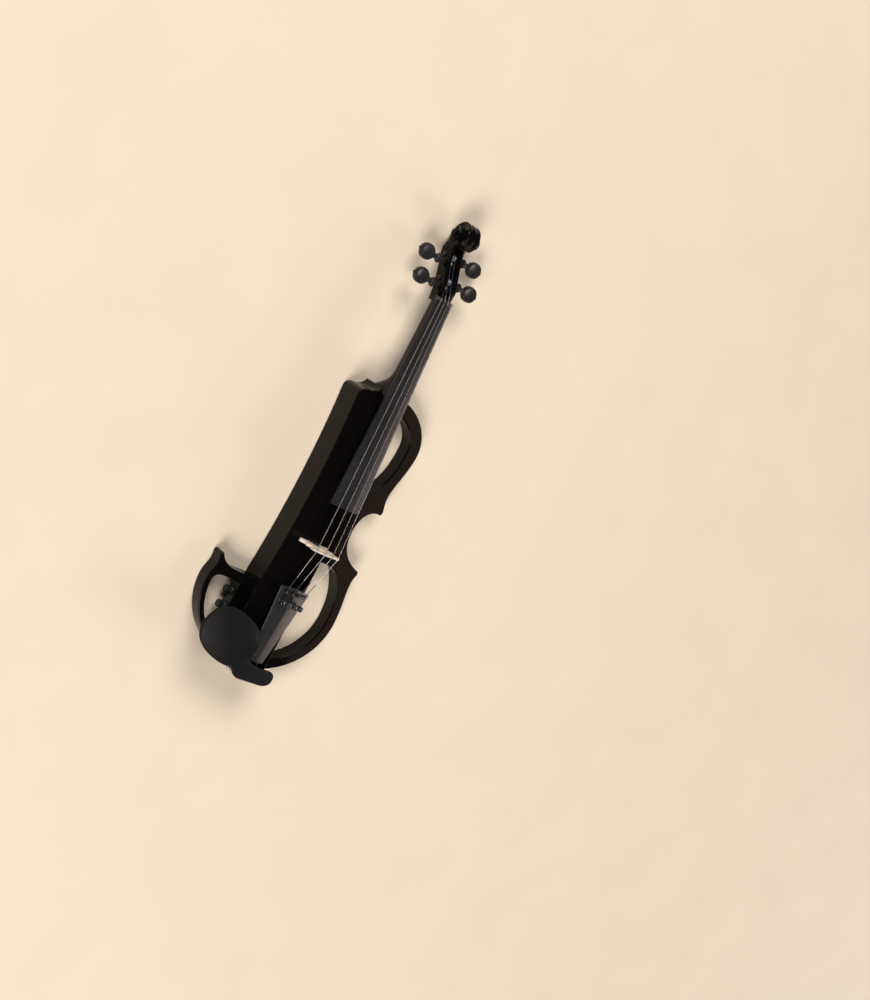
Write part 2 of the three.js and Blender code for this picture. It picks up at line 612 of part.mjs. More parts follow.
const pegboxSide = [
  at(STRING_LENGTH + SEAM, neckTop(STRING_LENGTH)),
  at(STRING_LENGTH + NUT_THICK, neckTop(STRING_LENGTH) + SEAM),
  pegboxRim[0],
  pegboxRim[1],
  at(scrollY - SCROLL_RADIUS * 0.3, SCROLL_Z + SCROLL_RADIUS * 0.2),
  at(scrollY, SCROLL_Z - SCROLL_RADIUS * 0.5),
  at(scrollY - SCROLL_RADIUS * 0.4, SCROLL_Z - SCROLL_RADIUS * 0.9),
  at(pegY(3), pegZ(3) - PEG_TO_RIM * 1.12),
  at(pegY(1.5), pegZ(1.5) - PEG_TO_RIM),
  at(pegY(0), pegZ(0) - PEG_TO_RIM * 0.92),
  at(STRING_LENGTH + NUT_THICK, neckTop(STRING_LENGTH) - NECK_DEPTH_NUT * 1.22),
  at(STRING_LENGTH - NUT_THICK, neckTop(STRING_LENGTH) - NECK_DEPTH_NUT),
];
const taper = (body, y0, y1, w0, w1) => body.warp((v) => {
  const share = THREE.MathUtils.clamp((v[1] - y0) / (y1 - y0), 0, 1);
  v[0] *= 1 + (w1 / w0 - 1) * share;
});
const pegboxOuter = taper(sideSlab(pegboxSide, BOARD_NUT_WIDTH - 2 * SEAM, EDGE_ROUND * 0.6),
  STRING_LENGTH, pegboxEnd, BOARD_NUT_WIDTH, PEGBOX_TOP_WIDTH);
const cavityStart = STRING_LENGTH + NUT_THICK + 2 * SEAM;
const pegboxCavity = taper(sideSlab([
  at(cavityStart, BOARD_NUT_Z + CUT_OVERRUN),
  at(pegboxEnd - PEGBOX_FLOOR, pegZ(3) + PEG_TO_RIM + CUT_OVERRUN * 2),
  at(pegboxEnd - PEGBOX_FLOOR, pegZ(3)),
  at(pegY(3), pegZ(3) - PEG_TO_RIM * 1.12 + PEGBOX_FLOOR),
  at(pegY(0), pegZ(0) - PEG_TO_RIM * 0.92 + PEGBOX_FLOOR),
  at(cavityStart, pegZ(0) - PEG_TO_RIM * 0.4),
], PEGBOX_CAVITY), STRING_LENGTH, pegboxEnd, BOARD_NUT_WIDTH, PEGBOX_TOP_WIDTH);

/** A snail outline in Y and Z, one turn of the scroll's spiral. */
function snail(startTurn, steps = 22) {
  return Array.from({ length: steps }, (_, i) => {
    const turns = startTurn + i / steps;
    const radius = SCROLL_RADIUS * Math.exp(-0.62 * Math.max(turns, 0));
    const angle = 2 * Math.PI * (turns - 0.3);
    return at(scrollY + radius * Math.cos(angle), SCROLL_Z + radius * Math.sin(angle));
  });
}
const scroll = join(
  ...SCROLL_WIDTHS.map((width, i) => sideSlab(snail(i * 0.55), width, EDGE_ROUND * 0.5)),
  rod([-SCROLL_EYE_WIDTH / 2, scrollY, SCROLL_Z], [SCROLL_EYE_WIDTH / 2, scrollY, SCROLL_Z],
    SCROLL_EYE_RADIUS, 14));
const rootStart = HEEL_END_Y - NECK_ROOT_LENGTH;
const rootRing = (y) => [
  [-boardHalf(y) + SEAM, y, CORE_DEPTH + SEAM],
  [boardHalf(y) - SEAM, y, CORE_DEPTH + SEAM],
  [boardHalf(y) - SEAM, y, neckTop(y)],
  [-boardHalf(y) + SEAM, y, neckTop(y)],
];
let neck = join(
  loft(neckRings),
  loft([rootRing(rootStart), rootRing(heelY + EDGE_ROUND)]),
  block([-TENON_WIDTH / 2, HEEL_END_Y - TENON_LENGTH, TENON_LOW],
    [TENON_WIDTH / 2, heelY + EDGE_ROUND, TENON_HIGH]),
  pegboxOuter);
neck = neck.add(scroll).subtract(pegboxCavity);
const pegPlaces = { g: 0, e: 0.62, d: 2, a: 2.62 };
const pegSides = { g: -1, d: -1, a: 1, e: 1 };
for (const name of STRING_NAMES) {
  const y = pegY(pegPlaces[name]);
  const z = pegZ(pegPlaces[name]);
  const reach = BOARD_NUT_WIDTH * pegSides[name];
  neck = neck.subtract(rod([reach, y, z], [-reach, y, z], PEG_SHAFT_RADIUS + PEG_CLEARANCE, 12,
    PEG_TIP_RADIUS + PEG_CLEARANCE));
}
piece('neck_and_scroll', 'gloss', neck);

// Fingerboard
const boardRing = (y) => {
  const half = boardHalf(y);
  const steps = 10;
  const crown = Array.from({ length: steps + 1 }, (_, i) => {
    const x = half * ((2 * i) / steps - 1);
    return [x, y, boardZ(y) + boardDrop(half) - boardDrop(x)];
  });
  return [...crown, [half, y, boardZ(y) - BOARD_SIDE], [-half, y, boardZ(y) - BOARD_SIDE]];
};
piece('fingerboard', 'ebony', loft([boardRing(STRING_LENGTH), boardRing(STRING_LENGTH - boardLength)]));

// Nut, shaped to the board's crown and sloped towards the pegs
const nutRing = (y, lift) => boardRing(STRING_LENGTH).map(([x, , z], i, ring) => {
  const crown = i < ring.length - 2;
  return [x, y, crown ? z + lift : neckTop(STRING_LENGTH) + SEAM];
});
piece('nut', 'ebony', loft([
  nutRing(STRING_LENGTH + SEAM, NUT_ABOVE - SEAM),
  nutRing(STRING_LENGTH + NUT_THICK * 0.3, NUT_ABOVE),
  nutRing(STRING_LENGTH + NUT_THICK * 0.55, NUT_ABOVE),
  nutRing(STRING_LENGTH + NUT_THICK, -NUT_ABOVE * 1.6),
]));

// Bridge: a plate with feet, waist, kidney notches and a heart, thinner towards its top
const bridgeFoot = CORE_DEPTH + PICKUP_THICK + SEAM;
const bridgeHeight = BRIDGE_TOP_Z - bridgeFoot;
const bridgeAt = (xShare, zShare) => at((BRIDGE_FOOT_SPAN / 2) * xShare, bridgeFoot + bridgeHeight * zShare);
const bridgeSideShares = [
  [0.42, 0], [1, 0], [1, 0.07], [0.86, 0.12], [0.78, 0.22], [0.8, 0.3], [0.93, 0.36], [0.94, 0.42],
  [0.72, 0.45], [0.62, 0.5], [0.66, 0.56], [0.86, 0.58], [0.96, 0.64], [0.98, 0.74],
];
const bridgeArchShares = [[0.34, 0.08], [0.2, 0.2], [0, 0.24]];
const bridgeRight = bridgeSideShares.map(([x, z]) => bridgeAt(x, z));
const mirror = (points) => points.map((p) => at(-p.x, p.y)).reverse();
const crownSteps = 8;
const bridgeCrown = Array.from({ length: crownSteps + 1 }, (_, i) => {
  const x = BRIDGE_CROWN_HALF * (1 - (2 * i) / crownSteps);
  return at(x, bridgeTop(x));
});
const bridgeArch = bridgeArchShares.map(([x, z]) => bridgeAt(x, z));
const bridgeShape = new THREE.Shape([
  ...bridgeArch.slice().reverse(),
  ...bridgeRight,
  ...bridgeCrown,
  ...mirror(bridgeRight),
  ...mirror(bridgeArch.slice().reverse()).slice(0, -1),
]);
bridgeShape.holes.push(new THREE.Path([
  bridgeAt(0, 0.4), bridgeAt(0.12, 0.5), bridgeAt(0.2, 0.6), bridgeAt(0.12, 0.68), bridgeAt(0, 0.63),
  bridgeAt(-0.12, 0.68), bridgeAt(-0.2, 0.6), bridgeAt(-0.12, 0.5),
]));
const bridgePlate = new THREE.ExtrudeGeometry(bridgeShape, {
  depth: BRIDGE_FOOT_THICK,
  bevelEnabled: false,
});
bridgePlate.translate(0, 0, -BRIDGE_FOOT_THICK / 2).rotateX(Math.PI / 2);
const bridgeSpots = bridgePlate.attributes.position;
for (let i = 0; i < bridgeSpots.count; i += 1) {
  const share = THREE.MathUtils.clamp((bridgeSpots.getZ(i) - bridgeFoot) / bridgeHeight, 0, 1);
  const thick = THREE.MathUtils.lerp(BRIDGE_FOOT_THICK, BRIDGE_TOP_THICK, share);
  bridgeSpots.setY(i, (bridgeSpots.getY(i) * thick) / BRIDGE_FOOT_THICK);
}
piece('bridge', 'maple', solid(bridgePlate));
piece('bridge_pickup', 'plastic', block([-PICKUP_LENGTH / 2, -PICKUP_WIDTH / 2, CORE_DEPTH],
  [PICKUP_LENGTH / 2, PICKUP_WIDTH / 2, CORE_DEPTH + PICKUP_THICK]));

// Tailpiece with four tuner slots and screw holes
const tailEnd = saddleY + TAIL_GUT_SPAN;
const tailStart = tailEnd + TAILPIECE_LENGTH;
const tailShare = (y) => (tailStart - y) / TAILPIECE_LENGTH;
const tailBase = (y) => TAILPIECE_WIDE_Z + (TAILPIECE_NARROW_Z - TAILPIECE_WIDE_Z) * tailShare(y);
const tailHalf = (y) => (TAILPIECE_WIDE + (TAILPIECE_NARROW - TAILPIECE_WIDE) * tailShare(y)) / 2;
const tailTop = (x, y) => tailBase(y) + TAILPIECE_THICK - TAILPIECE_CROWN * (x / tailHalf(tailStart)) ** 2;
const tailRing = (y, trim) => {
  const half = tailHalf(y) - trim;
  const steps = 8;
  const crown = Array.from({ length: steps + 1 }, (_, i) => {
    const x = half * ((2 * i) / steps - 1);
    return [x, y, Math.max(tailTop(x, y) - trim * 0.5, tailBase(y) + TAILPIECE_THICK * 0.2)];
  });
  return [...crown, [half * 0.94, y, tailBase(y) + trim * 0.3], [-half * 0.94, y, tailBase(y) + trim * 0.3]];
};
let tailpiece = loft([
  tailRing(tailStart, EDGE_ROUND),
  tailRing(tailStart - EDGE_ROUND, 0),
  tailRing(tailEnd + EDGE_ROUND, 0),
  tailRing(tailEnd, EDGE_ROUND),
]);
const hookY = tailStart - TUNER_LEVER_THICK * 2.5;
const tunerScrewY = hookY - TUNER_REACH;
const tunerX = (name) => TAIL_SPREAD * stringShare(name);
for (const name of STRING_NAMES) {
  const x = tunerX(name);
  tailpiece = tailpiece.subtract(block(
    [x - TUNER_SLOT_WIDTH / 2, hookY - TUNER_LEVER_THICK * 1.2, tailBase(hookY) - CUT_OVERRUN],
    [x + TUNER_SLOT_WIDTH / 2, hookY + TUNER_LEVER_THICK * 0.5 + SEAM,
      TAILPIECE_WIDE_Z + TAILPIECE_THICK * 2]));
  tailpiece = tailpiece.subtract(rod([x, tunerScrewY, tailBase(tunerScrewY) - CUT_OVERRUN],
    [x, tunerScrewY, TAILPIECE_WIDE_Z + TAILPIECE_THICK * 2], TUNER_SCREW_RADIUS + SEAM, 8));
}
const gutPlaces = [-1, 1].map((side) => side * GUT_SPREAD);
const gutHoleZ = tailBase(tailEnd) + GUT_RADIUS * 1.4;
for (const x of gutPlaces) {
  tailpiece = tailpiece.subtract(rod([x, tailEnd - CUT_OVERRUN, gutHoleZ],
    [x, tailEnd + CUT_OVERRUN * 2, gutHoleZ], GUT_RADIUS + SEAM, 8));
}
piece('tailpiece', 'ebony', tailpiece);

// Fine tuners: a lever under the tailpiece, and a screw that bears on it
for (const name of STRING_NAMES) {
  const x = tunerX(name);
  const leverTop = tailBase(tunerScrewY) - TUNER_LEVER_THICK * 0.8;
  const hookTop = tailTop(x, hookY) + TUNER_HOOK_RISE;
  const lever = sideSlab([
    at(hookY + TUNER_LEVER_THICK / 2, leverTop - TUNER_LEVER_THICK),
    at(hookY + TUNER_LEVER_THICK / 2, hookTop),
    at(hookY - TUNER_LEVER_THICK / 2, hookTop),
    at(hookY - TUNER_LEVER_THICK / 2, leverTop),
    at(tunerScrewY - TUNER_LEVER_THICK, leverTop),
    at(tunerScrewY - TUNER_LEVER_THICK, leverTop - TUNER_LEVER_THICK),
  ], TUNER_LEVER_WIDTH);
  piece(`tuner_lever_${name}`, 'nickel', lever.translate([x, 0, 0]));
  const knobBase = tailTop(x, tunerScrewY) + TUNER_KNOB_LIFT;
  piece(`tuner_screw_${name}`, 'nickel', turned([
    [0, leverTop + SEAM],
    [TUNER_SCREW_RADIUS, leverTop + SEAM],
    [TUNER_SCREW_RADIUS, knobBase],
    [TUNER_KNOB_RADIUS, knobBase + SEAM],
    [TUNER_KNOB_RADIUS, knobBase + TUNER_KNOB_HEIGHT - SEAM],
    [TUNER_KNOB_RADIUS - SEAM, knobBase + TUNER_KNOB_HEIGHT],
    [0, knobBase + TUNER_KNOB_HEIGHT],
  ], [x, tunerScrewY, 0], [0, 0, 1], 12));
}

// Pegs with their string windings
const pegWall = (y) => {
  const share = THREE.MathUtils.clamp((y - STRING_LENGTH) / (pegboxEnd - STRING_LENGTH), 0, 1);
  return (BOARD_NUT_WIDTH + (PEGBOX_TOP_WIDTH - BOARD_NUT_WIDTH) * share) / 2;
};
const windingX = (name) => WINDING_SHARES[name] * WINDING_LENGTH;
for (const name of STRING_NAMES) {
  const side = pegSides[name];
  const y = pegY(pegPlaces[name]);
  const z = pegZ(pegPlaces[name]);
  const wall = pegWall(y);
  const tip = wall + PEG_TIP_OUT;
  const collar = tip + wall + PEG_COLLAR_GAP;
  const stem = collar + PEG_COLLAR_LENGTH;
  const head = stem + PEG_STEM_LENGTH;
  const end = head + PEG_HEAD_LENGTH;
  const shaft = turned([
    [0, 0],
    [PEG_TIP_RADIUS - SEAM, 0],
    [PEG_TIP_RADIUS, SEAM],
    [PEG_SHAFT_RADIUS, tip + wall],
    [PEG_SHAFT_RADIUS, collar - SEAM],
    [PEG_COLLAR_RADIUS * 0.84, collar],
    [PEG_COLLAR_RADIUS, collar + PEG_COLLAR_LENGTH / 3],
    [PEG_COLLAR_RADIUS, collar + (PEG_COLLAR_LENGTH * 2) / 3],
    [PEG_STEM_RADIUS * 1.2, stem],
    [PEG_STEM_RADIUS, stem + PEG_STEM_LENGTH / 2],
    [PEG_STEM_RADIUS * 1.1, head + EDGE_ROUND],
    [0, head + EDGE_ROUND],
  ], [-side * tip, y, z], [side, 0, 0], 12);
  const grip = new THREE.SphereGeometry(0.5, 12, 8);
  grip.scale(PEG_HEAD_LENGTH, PEG_HEAD_WIDTH, PEG_HEAD_THICK);
  grip.translate(side * (end - tip - PEG_HEAD_LENGTH / 2), y, z);
  const pip = new THREE.SphereGeometry(PEG_PIP_RADIUS, 6, 4);
  pip.translate(side * (end - tip + PEG_PIP_RADIUS * 0.4), y, z);
  piece(`peg_${name}`, 'ebony', join(shaft, solid(grip), solid(pip)));
  const spot = windingX(name);
  const wound = PEG_SHAFT_RADIUS + WINDING_WALL + SEAM;
  const ring = [
    [PEG_SHAFT_RADIUS + SEAM, 0],
    [wound, SEAM],
    [wound, WINDING_LENGTH - SEAM],
    [PEG_SHAFT_RADIUS + SEAM, WINDING_LENGTH],
    [PEG_SHAFT_RADIUS + SEAM, 0],
  ];
  piece(`string_winding_${name}`, 'steel', turned(ring, [spot - WINDING_LENGTH / 2, y, z], [1, 0, 0], 12));
}

// Strings from the pegs over the nut and the bridge to the tuner hooks
for (const name of STRING_NAMES) {
  const radius = STRING_RADII[name];
  const share = stringShare(name);
  const place = pegPlaces[name];
  const nutX = NUT_SPREAD * share;
  const nutCrown = BOARD_NUT_Z + boardDrop(boardHalf(STRING_LENGTH)) - boardDrop(nutX) + NUT_ABOVE;
  const nutZ = nutCrown + radius + STRING_REST;
  const bridgeX = BRIDGE_SPREAD * share;
  const bridgeZ = bridgeTop(bridgeX) + radius + STRING_REST;
  const nutSpot = [nutX, STRING_LENGTH + NUT_THICK * 0.55, nutZ];
  const bridgeSpot = [bridgeX, 0, bridgeZ];
  const endZ = tailTop(tunerX(name), hookY) + TUNER_HOOK_RISE / 2;
  const endSpot = [tunerX(name), hookY + TUNER_LEVER_THICK / 2 + SEAM, endZ];
  const wound = PEG_SHAFT_RADIUS + WINDING_WALL + SEAM;
  const pegSpot = [windingX(name), pegY(place) + wound * 0.2, pegZ(place) + wound + radius + SEAM];
  piece(`string_${name}`, 'steel', cord([pegSpot, nutSpot, bridgeSpot, endSpot], radius));
}

// Saddle, tail gut and end button
piece('saddle', 'ebony', block([-SADDLE_WIDTH / 2, saddleY - SADDLE_THICK, CORE_DEPTH - SADDLE_HEIGHT],
  [SADDLE_WIDTH / 2, saddleY, CORE_DEPTH + SADDLE_HEIGHT * 0.3]));
const gutTop = CORE_DEPTH + SADDLE_HEIGHT * 0.3 + GUT_RADIUS + SEAM;
const gutFront = TAIL_Y - GUT_RADIUS - SEAM;
const gutX = BUTTON_SHAFT_RADIUS + GUT_RADIUS + SEAM;
const gutPath = (side) => [
  [side * GUT_SPREAD, tailEnd + CUT_OVERRUN, gutHoleZ],
  [side * GUT_SPREAD, tailEnd - SEAM, gutHoleZ],
  [side * GUT_SPREAD, saddleY, gutTop],
  [side * GUT_SPREAD, TAIL_Y + GUT_RADIUS * 0.5, gutTop],
  [side * gutX, gutFront - SEAM, CORE_DEPTH - SADDLE_HEIGHT],
  [side * gutX, gutFront - SEAM, BUTTON_Z],
];
const gutSteps = 6;
const gutLoop = Array.from({ length: gutSteps + 1 }, (_, i) => {
  const angle = Math.PI * (1 + i / gutSteps);
  return [gutX * Math.cos(angle), gutFront - SEAM, BUTTON_Z + gutX * Math.sin(angle)];
});
const gutRun = [...gutPath(-1), ...gutLoop.slice(1, -1), ...gutPath(1).reverse()];
piece('tail_gut', 'plastic', cord(gutRun, GUT_RADIUS));
const buttonGroove = GUT_RADIUS * 2 + 4 * SEAM;
piece('end_button', 'ebony', turned([
  [0, -BUTTON_SHAFT_LENGTH],
  [BUTTON_SHAFT_RADIUS * 0.86, -BUTTON_SHAFT_LENGTH],
  [BUTTON_SHAFT_RADIUS, 0],
  [BUTTON_SHAFT_RADIUS, buttonGroove],
  [BUTTON_HEAD_RADIUS, buttonGroove + SEAM],
  [BUTTON_HEAD_RADIUS, BUTTON_HEAD_LENGTH * 0.6],
  [BUTTON_HEAD_RADIUS * 0.7, BUTTON_HEAD_LENGTH * 0.9],
  [0, BUTTON_HEAD_LENGTH],
], [0, TAIL_Y, BUTTON_Z], [0, -1, 0]));

// Chin rest: a hollowed plate with an arm over the tail
function chinRing(share, z) {
  const steps = 26;
  return Array.from({ length: steps }, (_, i) => {
    const angle = (2 * Math.PI * i) / steps;
    const squared = 1 + 0.03 * (1 - Math.cos(4 * angle));
    const along = CHIN_HALF_X * share * squared * Math.cos(angle);
    const across = CHIN_HALF_Y * share * squared * Math.sin(angle);
    return [
      CHIN_X + along * Math.cos(CHIN_TURN) - across * Math.sin(CHIN_TURN),
      CHIN_Y + along * Math.sin(CHIN_TURN) + across * Math.cos(CHIN_TURN),
      z,
    ];
  });
}
const bowlZ = (share) => CHIN_RIM_Z - CHIN_BOWL * (1 - share ** 2);
const chinPlate = loft([
  ...[0.12, 0.4, 0.7, 0.92].map((share) => chinRing(share, bowlZ(share) - CHIN_THICK)),
  chinRing(0.99, CHIN_RIM_Z - CHIN_THICK * 0.55),
  chinRing(1, CHIN_RIM_Z - CHIN_THICK * 0.25),
  chinRing(0.96, CHIN_RIM_Z),
  ...[0.86, 0.64, 0.38, 0.12].map((share) => chinRing(share, bowlZ(share))),
]);
const armTop = CHIN_RIM_Z - CHIN_THICK * 0.7;
const armOutline = [
  at(CHIN_X + CHIN_HALF_X * 0.5, CHIN_ARM_LOW_Y + CHIN_ARM_WIDTH * 0.62),
  ...bend(at(CHIN_X + CHIN_HALF_X * 0.5, CHIN_ARM_LOW_Y + CHIN_ARM_WIDTH * 0.62),
    at(-CLAMP_SPREAD * 0.7, CHIN_ARM_LOW_Y), at(-CLAMP_SPREAD * 0.6, CHIN_ARM_LOW_Y),
    at(-CLAMP_SPREAD * 0.4, CHIN_ARM_LOW_Y), 5),
  at(CHIN_ARM_RIGHT * 0.62, CHIN_ARM_LOW_Y),
  at(CHIN_ARM_RIGHT * 0.86, CHIN_ARM_LOW_Y + CHIN_ARM_WIDTH * 0.14),
  at(CHIN_ARM_RIGHT, CHIN_ARM_LOW_Y + CHIN_ARM_WIDTH * 0.4),
  at(CHIN_ARM_RIGHT, CHIN_ARM_LOW_Y + CHIN_ARM_WIDTH * 0.62),
  at(CHIN_ARM_RIGHT * 0.8, CHIN_ARM_LOW_Y + CHIN_ARM_WIDTH * 0.86),
  ...bend(at(CHIN_ARM_RIGHT * 0.8, CHIN_ARM_LOW_Y + CHIN_ARM_WIDTH * 0.86),
    at(0, CHIN_ARM_LOW_Y + CHIN_ARM_WIDTH * 0.86),
    at(-CLAMP_SPREAD * 0.6, CHIN_ARM_LOW_Y + CHIN_ARM_WIDTH * 0.8),
    at(CHIN_X + CHIN_HALF_X * 0.6, CHIN_Y), 6),
];
const clampY = tailFace(CLAMP_SPREAD / 2) - CLAMP_BARREL_RADIUS - CLAMP_GAP;
const clampPlaces = { bass: -CLAMP_SPREAD / 2, treble: CLAMP_SPREAD / 2 };
let chinRest = chinPlate.add(slab(armOutline, armTop - CHIN_ARM_THICK, armTop, EDGE_ROUND * 0.8));
for (const x of Object.values(clampPlaces)) {
  chinRest = chinRest.subtract(rod([x, clampY, armTop - CHIN_ARM_THICK - CUT_OVERRUN],
    [x, clampY, armTop - CHIN_ARM_THICK * 0.3], CLAMP_ROD_RADIUS + SEAM, 8));
}
piece('chin_rest', 'ebony', chinRest);

// Clamp: a rod in the chin rest, a barrel, a rod on the foot
const barrelTop = CLAMP_BARREL_LOW + CLAMP_BARREL_LENGTH;
for (const [side, x] of Object.entries(clampPlaces)) {
  piece(`clamp_rod_${side}`, 'nickel', rod([x, clampY, barrelTop - CLAMP_BARREL_LENGTH * 0.35],
    [x, clampY, armTop - CHIN_ARM_THICK * 0.3 - SEAM], CLAMP_ROD_RADIUS, 8));
  const sleeve = rod([x, clampY, CLAMP_BARREL_LOW], [x, clampY, barrelTop], CLAMP_BARREL_RADIUS, 12);
  const bore = rod([x, clampY, CLAMP_BARREL_LOW - CUT_OVERRUN], [x, clampY, barrelTop + CUT_OVERRUN],
    CLAMP_ROD_RADIUS + SEAM, 12);
  const keyZ = CLAMP_BARREL_LOW + CLAMP_BARREL_LENGTH / 2;
  const keyHole = rod([x, clampY - CLAMP_BARREL_RADIUS * 2, keyZ],
    [x, clampY + CLAMP_BARREL_RADIUS * 2, keyZ], CLAMP_ROD_RADIUS * 0.7, 8);
  piece(`clamp_barrel_${side}`, 'nickel', sleeve.subtract(bore).subtract(keyHole));
}
const footHigh = CLAMP_FOOT_LOW + CLAMP_FOOT_THICK;
const footBack = tailFace(0) + CLAMP_FOOT_GRIP;
const foot = join(
  block([-CLAMP_SPREAD / 2 - CLAMP_BARREL_RADIUS, clampY - CLAMP_BARREL_RADIUS, CLAMP_FOOT_LOW],
    [CLAMP_SPREAD / 2 + CLAMP_BARREL_RADIUS, footBack - SEAM, footHigh]),
  ...Object.values(clampPlaces).map((x) => rod([x, clampY, CLAMP_FOOT_LOW + SEAM],
    [x, clampY, CLAMP_BARREL_LOW + CLAMP_BARREL_LENGTH * 0.35], CLAMP_ROD_RADIUS, 8)));
piece('clamp_foot', 'nickel', foot);
piece('clamp_cork', 'cork', block(
  [-CLAMP_SPREAD / 2, tailFace(0) + EDGE_ROUND * 2, footHigh],
  [CLAMP_SPREAD / 2, footBack - EDGE_ROUND, footHigh + CLAMP_CORK]));

// Control panel, knobs, pots and switch
let panel = block([panelFace, panelY[0], PANEL_Z[0]], [-DECK_LEFT, panelY[1], PANEL_Z[1]]);
for (const name of ['volume', 'tone']) {
  const y = controlY(name);
  const through = rod([panelFace - CUT_OVERRUN, y, CONTROL_Z], [-DECK_LEFT + CUT_OVERRUN, y, CONTROL_Z],
    POT_RADIUS + SEAM, 12);
  panel = panel.subtract(through);
  const potBack = COVER_X[0] + COVER_LEDGE * 0.3 + SEAM;
  const knobBase = panelFace - SEAM;
  const potHollow = rod([potBack + POT_BODY_LENGTH / 2, y, CONTROL_Z],
    [panelFace - CUT_OVERRUN, y, CONTROL_Z], POT_SHAFT_RADIUS + SEAM, 12);
  const pot = join(
    rod([potBack + POT_BODY_LENGTH, y, CONTROL_Z], [potBack, y, CONTROL_Z], POT_BODY_RADIUS, 12),
    rod([potBack + SEAM, y, CONTROL_Z], [panelFace + SEAM, y, CONTROL_Z], POT_RADIUS, 12));
  piece(`${name}_pot`, 'nickel', pot.subtract(potHollow));
  const shaft = rod([potBack + POT_BODY_LENGTH / 2 - SEAM, y, CONTROL_Z], [knobBase - SEAM, y, CONTROL_Z],
    POT_SHAFT_RADIUS, 12);
  const cap = turned([
    [0, 0], [KNOB_RADIUS, 0], [KNOB_RADIUS, SEAM * 4], [KNOB_RADIUS * 0.88, SEAM * 6],
    [KNOB_RADIUS * 0.84, KNOB_LENGTH - SEAM * 3], [KNOB_RADIUS * 0.76, KNOB_LENGTH], [0, KNOB_LENGTH],
  ], [knobBase, y, CONTROL_Z], [-1, 0, 0], 18);
  const pointer = block([knobBase - KNOB_LENGTH - CUT_OVERRUN, y - SEAM, CONTROL_Z + KNOB_RADIUS * 0.3],
    [knobBase - KNOB_LENGTH + 2 * SEAM, y + SEAM, CONTROL_Z + KNOB_RADIUS]);
  piece(`${name}_knob`, 'plastic', cap.subtract(pointer).add(shaft));
}
panel = panel.subtract(block([panelFace - CUT_OVERRUN, switchY[0], CONTROL_Z - switchHalf],
  [-DECK_LEFT + CUT_OVERRUN, switchY[1], CONTROL_Z + switchHalf]));
piece('control_panel', 'plastic', panel);
piece('switch_body', 'nickel', block(
  [-DECK_LEFT + SEAM, switchY[0], CONTROL_Z - switchHalf],
  [-DECK_LEFT + SWITCH_DEPTH, switchY[1], CONTROL_Z + switchHalf]));
const nubStart = switchY[0] + SEAM;
piece('power_switch', 'plastic', block(
  [panelFace - SWITCH_NUB, nubStart, CONTROL_Z - switchHalf + SEAM],
  [-DECK_LEFT, nubStart + SWITCH_LENGTH - SWITCH_TRAVEL - 2 * SEAM, CONTROL_Z + switchHalf - SEAM]));

// Jacks in the treble wall
for (const [name, y, radius, bore, length] of [
  ['output_jack', OUTPUT_JACK_Y, OUTPUT_JACK_RADIUS, OUTPUT_JACK_BORE, OUTPUT_JACK_LENGTH],
  ['headphone_jack', PHONES_JACK_Y, PHONES_JACK_RADIUS, PHONES_JACK_BORE, PHONES_JACK_LENGTH]]) {
  const flange = radius * JACK_NUT_RADIUS_SHARE;
  piece(name, 'nickel', turned([
    [bore, -length],
    [radius, -length],
    [radius, SEAM],
    [flange, SEAM],
    [flange, JACK_FLANGE * 0.7],
    [flange * 0.8, JACK_FLANGE],
    [bore, JACK_FLANGE],
    [bore, -length],
  ], [CORE_RIGHT, y, JACK_Z], [1, 0, 0], 16));
}

// Circuit board on its posts in the chamber
const pcbX = [COVER_X[1] - COVER_LEDGE - SEAM - BOARD_PCB[0] * 0.78, COVER_X[1] - COVER_LEDGE - SEAM];
const pcbY = (COVER_Y[0] + COVER_Y[1]) / 2;
const chamberTop = CHAMBER_HEIGHT - SEAM;
const pcbMiddle = (pcbX[0] + pcbX[1]) / 2;
const pcbPosts = [-0.4, 0.4].map((share) => rod(
  [pcbMiddle, pcbY + BOARD_PCB[1] * share, PCB_Z],
  [pcbMiddle, pcbY + BOARD_PCB[1] * share, chamberTop], PCB_POST, 8));
const pcbPlate = block([pcbX[0], pcbY - BOARD_PCB[1] / 2, PCB_Z - BOARD_PCB[2] / 2],
  [pcbX[1], pcbY + BOARD_PCB[1] / 2, PCB_Z + BOARD_PCB[2] / 2]);
piece('circuit_board', 'board', join(pcbPlate, ...pcbPosts));

// Back cover and its screws
let cover = block([...coverLow, 0], [...coverHigh, COVER_THICK]);
for (const [x, y] of screwPlaces) {
  cover = cover.subtract(rod([x, y, -CUT_OVERRUN], [x, y, COVER_THICK + CUT_OVERRUN],
    SCREW_SHANK_RADIUS + SEAM, 8));
  cover = cover.subtract(rod([x, y, -CUT_OVERRUN], [x, y, SCREW_HEAD_HEIGHT + SEAM],
    SCREW_HEAD_RADIUS + SEAM, 12));
}
piece('back_cover', 'plastic', cover);
screwPlaces.forEach(([x, y], i) => {
  const head = rod([x, y, SEAM], [x, y, SCREW_HEAD_HEIGHT], SCREW_HEAD_RADIUS, 12);
  const slot = block([x - SCREW_HEAD_RADIUS * 2, y - SEAM, -CUT_OVERRUN],
    [x + SCREW_HEAD_RADIUS * 2, y + SEAM, SEAM * 2.4]);
  const shank = rod([x, y, SCREW_HEAD_HEIGHT - SEAM], [x, y, SCREW_LENGTH], SCREW_SHANK_RADIUS, 8);
  piece(`cover_screw_${i + 1}`, 'steel', head.subtract(slot).add(shank));
});

